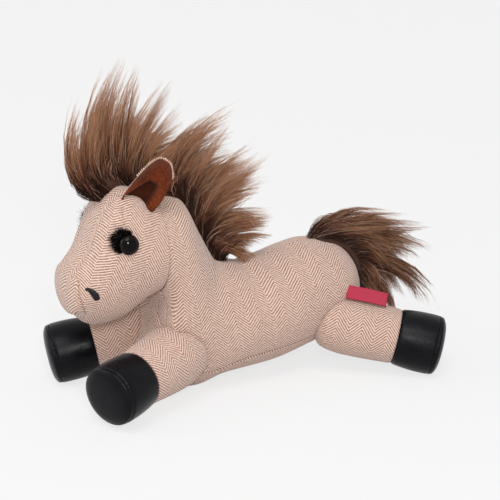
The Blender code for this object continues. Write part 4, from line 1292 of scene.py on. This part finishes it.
def make_nostrils():
    """A raised drop of satin stitch on each side of the muzzle, its threads laid across the drop."""
    place, out = side_place(HEAD_SURFACE, NOSTRIL_X, NOSTRIL_Z)
    shares = curve_through(NOSTRIL_SHARES, np.linspace(0, len(NOSTRIL_SHARES) - 1, 80))
    turns = np.linspace(0, 2 * math.pi, 20, endpoint=False)[None, :, None]
    for side, name in ((-1, "left"), (1, "right")):
        matrix = spot_frame(place, out, side)
        found = [
            on_head(matrix, 0.35 * MM, math.atan2(up, along), 0.86 * NOSTRIL_LENGTH * math.hypot(along, up), side)
            for _, along, up in shares
        ]
        spots, outs = (np.array(held) for held in zip(*found))
        across = np.cross(np.gradient(spots, axis=0), outs)
        across /= np.linalg.norm(across, axis=1)[:, None]
        size = shares[:, 0] * (1 + 0.035 * np.sin(2 * math.pi * run_along(spots) / SATIN_STEP))
        size[0], size[-1] = size[0] * 0.5, size[-1] * 0.45
        size = size[:, None, None]
        ring = outs[:, None] * (np.cos(turns) * size * NOSTRIL_THICKNESS * 0.55)
        ring = ring + across[:, None] * (np.sin(turns) * size * NOSTRIL_RADIUS)
        points = spots[:, None] + ring
        made = closed_turned(f"nostril_{name}_stitching", points, SATIN, (spots[0], spots[-1]))
        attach(made, "head")
        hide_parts(f"nostril_{name}")


# Fur: each guide line is one part of a lock, and the node tree turns it into pointed strands.

def strand_tree():
    """Each guide line becomes strands that part at the root, close to a point, and end at uneven lengths."""
    tree, s, start, end = node_group(
        "GeometryNodeTree", "strands_from_guides",
        {"Guides": "Geometry", "Strands in a lock": "Int", "Lock width": "Float", "Strand radius": "Float",
         "Wave": "Float", "Seed": "Int", "Finish": "Material"},
        {"Strands": "Geometry"},
    )

    def lucky(kind, low, high, shift):
        """A random number or vector for each strand. shift gives each use its own seed."""
        first, output = (0, 0) if kind == "FLOAT_VECTOR" else (2, 1)
        feeds = {first: low, first + 1: high, "Seed": s.math("ADD", start["Seed"], float(shift))}
        return s.node("FunctionNodeRandomValue", feeds, data_type=kind).outputs[output]

    def keep(geometry, name, kind, domain, value):
        feeds = {"Geometry": geometry, "Name": name, "Value": value}
        return s.node("GeometryNodeStoreNamedAttribute", feeds, data_type=kind, domain=domain).outputs[0]

    def kept(name, kind):
        return s.node("GeometryNodeInputNamedAttribute", {"Name": name}, data_type=kind).outputs["Attribute"]

    def fading(factor, power, drop):
        """1 at the root, and less by the drop at the tip."""
        return s.math("SUBTRACT", 1.0, s.math("MULTIPLY", s.math("POWER", factor, power), drop))

    curve = s.node("GeometryNodeMeshToCurve", {0: start["Guides"]}).outputs[0]
    feeds = {"Geometry": curve, "Amount": start["Strands in a lock"]}
    shape = s.node("GeometryNodeDuplicateElements", feeds, domain="SPLINE").outputs[0]
    shape = keep(shape, "drift", "FLOAT_VECTOR", "CURVE", lucky("FLOAT_VECTOR", (-1, -1, -1), (1, 1, 1), 1))
    shape = keep(shape, "shade", "FLOAT", "CURVE", lucky("FLOAT", 0.0, 1.0, 2))
    feeds = {"Curve": shape, "End": lucky("FLOAT", 0.56, 1.0, 3)}
    shape = s.node("GeometryNodeTrimCurve", feeds, mode="FACTOR").outputs[0]
    factor = s.node("GeometryNodeSplineParameter").outputs["Factor"]
    shape = keep(shape, "along", "FLOAT", "POINT", factor)
    drift, factor = kept("drift", "FLOAT_VECTOR"), kept("along", "FLOAT")
    apart = s.vector("SCALE", drift, s.math("MULTIPLY", fading(factor, 1.2, 0.80), start["Lock width"]))
    where = s.vector("SCALE", s.node("GeometryNodeInputPosition").outputs[0], 34.0)
    stir = s.stir(s.vector("ADD", where, s.vector("SCALE", drift, 0.28)), 1.0, 1.0)
    wave = s.vector("SCALE", stir, s.math("MULTIPLY", factor, start["Wave"]))
    feeds = {"Geometry": shape, "Offset": s.vector("ADD", apart, wave)}
    moved = s.node("GeometryNodeSetPosition", feeds).outputs[0]
    ring = s.node("GeometryNodeCurvePrimitiveCircle", {"Resolution": 3, "Radius": 1.0}).outputs[0]
    radius = s.math("MULTIPLY", fading(factor, 2.0, 0.85), start["Strand radius"])
    feeds = {"Curve": moved, "Scale": radius, "Profile Curve": ring, "Fill Caps": True}
    tube = s.node("GeometryNodeCurveToMesh", feeds).outputs[0]
    s.feed(end["Strands"], painted(s, tube, start["Finish"]))
    return tree


STRANDS = strand_tree()


def strand_piece(name, lines, finish, count, width, radius, wave, seed):
    """A plain mesh of strands from guide lines."""
    values = {
        "Strands in a lock": count, "Lock width": width, "Strand radius": radius, "Wave": wave, "Seed": seed,
        "Finish": finish,
    }
    return grown(name, lines, STRANDS, values)


def pile_width(shares, q):
    """How wide the pile is at a share of its length."""
    return np.interp(q, [a for a, _ in shares] + [1], [b for _, b in shares] + [0.05])


def pile_reach(reach, t):
    """How far along and up the pile's end is from its root, in lengths, at a share of its ridge."""
    where = t * (len(reach) - 1)
    return [np.interp(where, range(len(reach)), [row[k] for row in reach]) for k in (0, 1)]


def fur_guides(form, rings, reach, length, thickness, pile, seed, bow):
    """Guide lines for one ridge of pile, in locks: roots along the form's top line, ends that close to the lock's
    point. bow is how far the pile bulges ahead."""
    rng = np.random.default_rng(seed)
    span = rings[1] - rings[0]
    q = np.linspace(0, 1, 7)
    lines = []
    for k in range(LOCKS):
        t = (k + rng.uniform(0, 1)) / LOCKS
        a = rng.uniform(-1, 1)
        a = math.copysign(abs(a) ** 0.7, a)
        share, rise = pile_reach(reach, np.clip(t + rng.normal(0, 0.045), -0.04, 1.04))
        fine = rng.uniform() < 0.45
        size = length * (rng.uniform(0.88, 1.22) if fine else rng.uniform(0.48, 0.80)) * (1 - 0.08 * abs(a))
        way = np.array((share, 0, rise))
        front = np.array((-rise, 0, share)) / math.hypot(share, rise)
        bulge = rng.normal(bow, 0.35 * bow)
        sway, hook = rng.normal(0, 3.5 * MM), rng.normal(0, 3 * MM)
        wide = thickness * 0.5 * rng.uniform(0.8, 1.15)
        gather = 1.0 if fine else 0.7
        for _ in range(LINES_IN_A_LOCK):
            stray = rng.uniform() < 0.05
            ring = rings[0] + span * np.clip(t + rng.normal(0, 0.034), -0.01, 1.01)
            b = np.clip(a + rng.normal(0, 0.22), -1, 1)
            half = curve_through(form.rows, np.array(ring))[4]
            phi = math.asin(np.clip(b * thickness * 0.5 * pile[0][1] / max(half, 1e-4), -0.9, 0.9))
            root = form.place(ring, phi)
            side = -(b * (1 - gather * q) + a * gather * q) * pile_width(pile, q) * wide
            ahead = size * rng.uniform(0.74, 1.0) * (rng.uniform(1.0, 1.15) if stray else 1)
            shift = (form.place(rings[0] + span * t, 0) - form.place(ring, 0)) * gather
            path = root[None, :] + np.outer(q * ahead, way) + np.outer(q ** 1.6, shift)
            path[:, 1] = root[1] * (1 - q) ** 2 + side * (1 - (1 - q) ** 2) + sway * q ** 2
            lift = bulge + rng.normal(0, 1.6 * MM) + (rng.normal(0, 5 * MM) if stray else 0)
            droop = q ** 2.5 * (1.6 * abs(hook) + 1.15 * bow)
            path += np.outer(4 * q * (1 - q) * (1 - 0.35 * q) * lift - droop, front)
            path += np.outer(q ** 2 * (1 - q) * rng.normal(0, 4 * MM), front)
            lines.append(path)
    return lines


def fur_core(name, form, rings, reach, length, thickness, pile, scale):
    """The close dark under-pile that the strands lie on: dark like the hair's roots, and painted as the shade deep in
    the dense hair, so that no light shows between strands.
    """
    t = np.linspace(0, 1, 60)
    spots = rings[0] + (rings[1] - rings[0]) * t
    roots = form.place(spots, 0) - form.out(spots, 0) * 1.5 * MM
    q = np.concatenate([np.linspace(0, 1, 22), np.linspace(1, 0, 22)[1:-1]])
    sign = np.concatenate([np.full(22, -1.0), np.full(20, 1.0)])
    half = pile_width(pile, q) * thickness * 0.5 * 0.55 * np.sqrt(np.clip(1 - q ** 3, 0, 1)) * sign
    taper = np.sqrt(np.clip(np.minimum(t, 1 - t) / 0.12, 0.02, 1))
    along, up = (held * length * scale * taper for held in pile_reach(reach, t))
    points = roots[:, None] + np.stack([along, 0 * along, up], -1)[:, None] * q[:, None]
    points[..., 1] += half * taper[:, None]
    flat = points.reshape(-1, 3)
    flat[:, 1] += 0.9 * MM * smooth_noise(flat, 0.006, 90) * np.sign(flat[:, 1])
    return closed_turned(name, flat.reshape(points.shape), PILE_CORE_SHADE, (points[0].mean(0), points[-1].mean(0)))


def make_fur():
    mane = (FUR_THICKNESS, PILE_SHARES)
    tail = (TAIL_THICKNESS, TAIL_PILE_SHARES)
    # Each ridge's name, form, rings, reach of its core, length, thickness and pile, body, finish, reach of its hair,
    # strand pieces, share of the core in the length, bow and strands for each guide line.
    ridges = (
        ("forelock_fur", HEAD, FORELOCK_RINGS, FORELOCK_SHARES, FORELOCK_LENGTH, mane, "head",
         MANE_FINISH, FORELOCK_HAIR, 2, 0.28, 11 * MM, 10),
        ("mane_fur", BODY, MANE_RINGS, MANE_SHARES, MANE_LENGTH, mane, "torso",
         MANE_FINISH, MANE_HAIR, 3, 0.28, 12 * MM, 10),
        ("tail_fur", BODY, TAIL_RINGS, TAIL_SHARES, TAIL_LENGTH, tail, "tail",
         TAIL_FINISH, TAIL_HAIR, 3, 0.15, 7 * MM, 9),
    )
    for index, ridge in enumerate(ridges):
        name, form, rings, reach, length, pile, body, hair, ends, parts, core, bow, strands = ridge
        under = fur_core(f"{name}_under_pile_shade", form, rings, reach, length, *pile, core)
        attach(under, body)
        for part in range(parts):
            guides = fur_guides(form, rings, ends, length, *pile, 100 + 10 * index + part, bow)
            made = strand_piece(
                f"{name}_strands_{part + 1}", guides, hair, strands, LOCK_WIDTH, STRAND_RADIUS, STRAND_WAVE,
                20 * index + part)
            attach(made, body)
            if part == 0:
                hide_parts(name)


# The side label.

def make_label():
    """A folded ribbon, left bare, that comes out of the hip seam and lies over the left hind leg."""
    start, _ = side_place(BODY_SURFACE, LABEL_X, LABEL_Z)
    way = LABEL_WAY.normalized()
    across = (LABEL_ACROSS - LABEL_ACROSS.dot(way) * way).normalized()
    face = way.cross(across)
    half = 40
    t = np.concatenate([np.linspace(0, 1, half), np.linspace(1, 0, half)])
    sheet = np.concatenate([np.full(half, 1.0), np.full(half, -1.0)])
    arch = 4 * LABEL_THICKNESS * t * (1 - t)
    gap = sheet * 0.32 * MM * np.sqrt(np.clip((1 - t) / 0.04, 0, 1))
    u = np.linspace(-1, 1, 15)
    base = np.array(start) + np.outer(LABEL_LENGTH * t, way) + np.outer(arch + gap, face)
    points = base[:, None] + np.outer(LABEL_WIDTH / 2 * u, across)
    points = points + (0.4 * MM * np.outer(np.sin(3 * t), u ** 2))[..., None] * np.array(face)
    made = mesh_object("side_label_ribbon", points.reshape(-1, 3), grid_faces(2 * half, 15, False), RIBBON)
    place = np.stack(np.broadcast_arrays(run_along(base)[:, None], u * LABEL_WIDTH / 2), -1)
    store_cloth_map(made, place.reshape(-1, 2))
    thicken(made, RIBBON_THICKNESS, 0)
    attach(made, "torso")
    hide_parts("side_label")


def finish_washers():
    for name in ("eye_washer_left", "eye_washer_right"):
        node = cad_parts[name]
        node.data.materials.clear()
        node.data.materials.append(WASHER_PLASTIC)


def make_floor():
    size = 6
    corners = [(-size, -size, 0), (size, -size, 0), (size, size, 0), (-size, size, 0)]
    mesh_object("floor", corners, [(0, 1, 2, 3)], floor_material())


set_camera()
bpy.context.scene.view_settings.view_transform = "Standard"
set_world()
add_lamp("soft_key", "SUN", (-0.45, -0.75, 1.6), 1.36, 30)
add_lamp("eye_light", "AREA", (-0.42, -1.0, 0.62), 5.5, 0.15)
add_lamp("side_fill", "AREA", (-1.1, 0.3, 0.7), 3, 0.6)
make_floor()
make_covers()
for index, leg in enumerate(LEGS):
    make_leg(index, *leg)
make_ears()
make_eyes()
make_lashes()
make_nostrils()
make_fur()
make_label()
finish_washers()
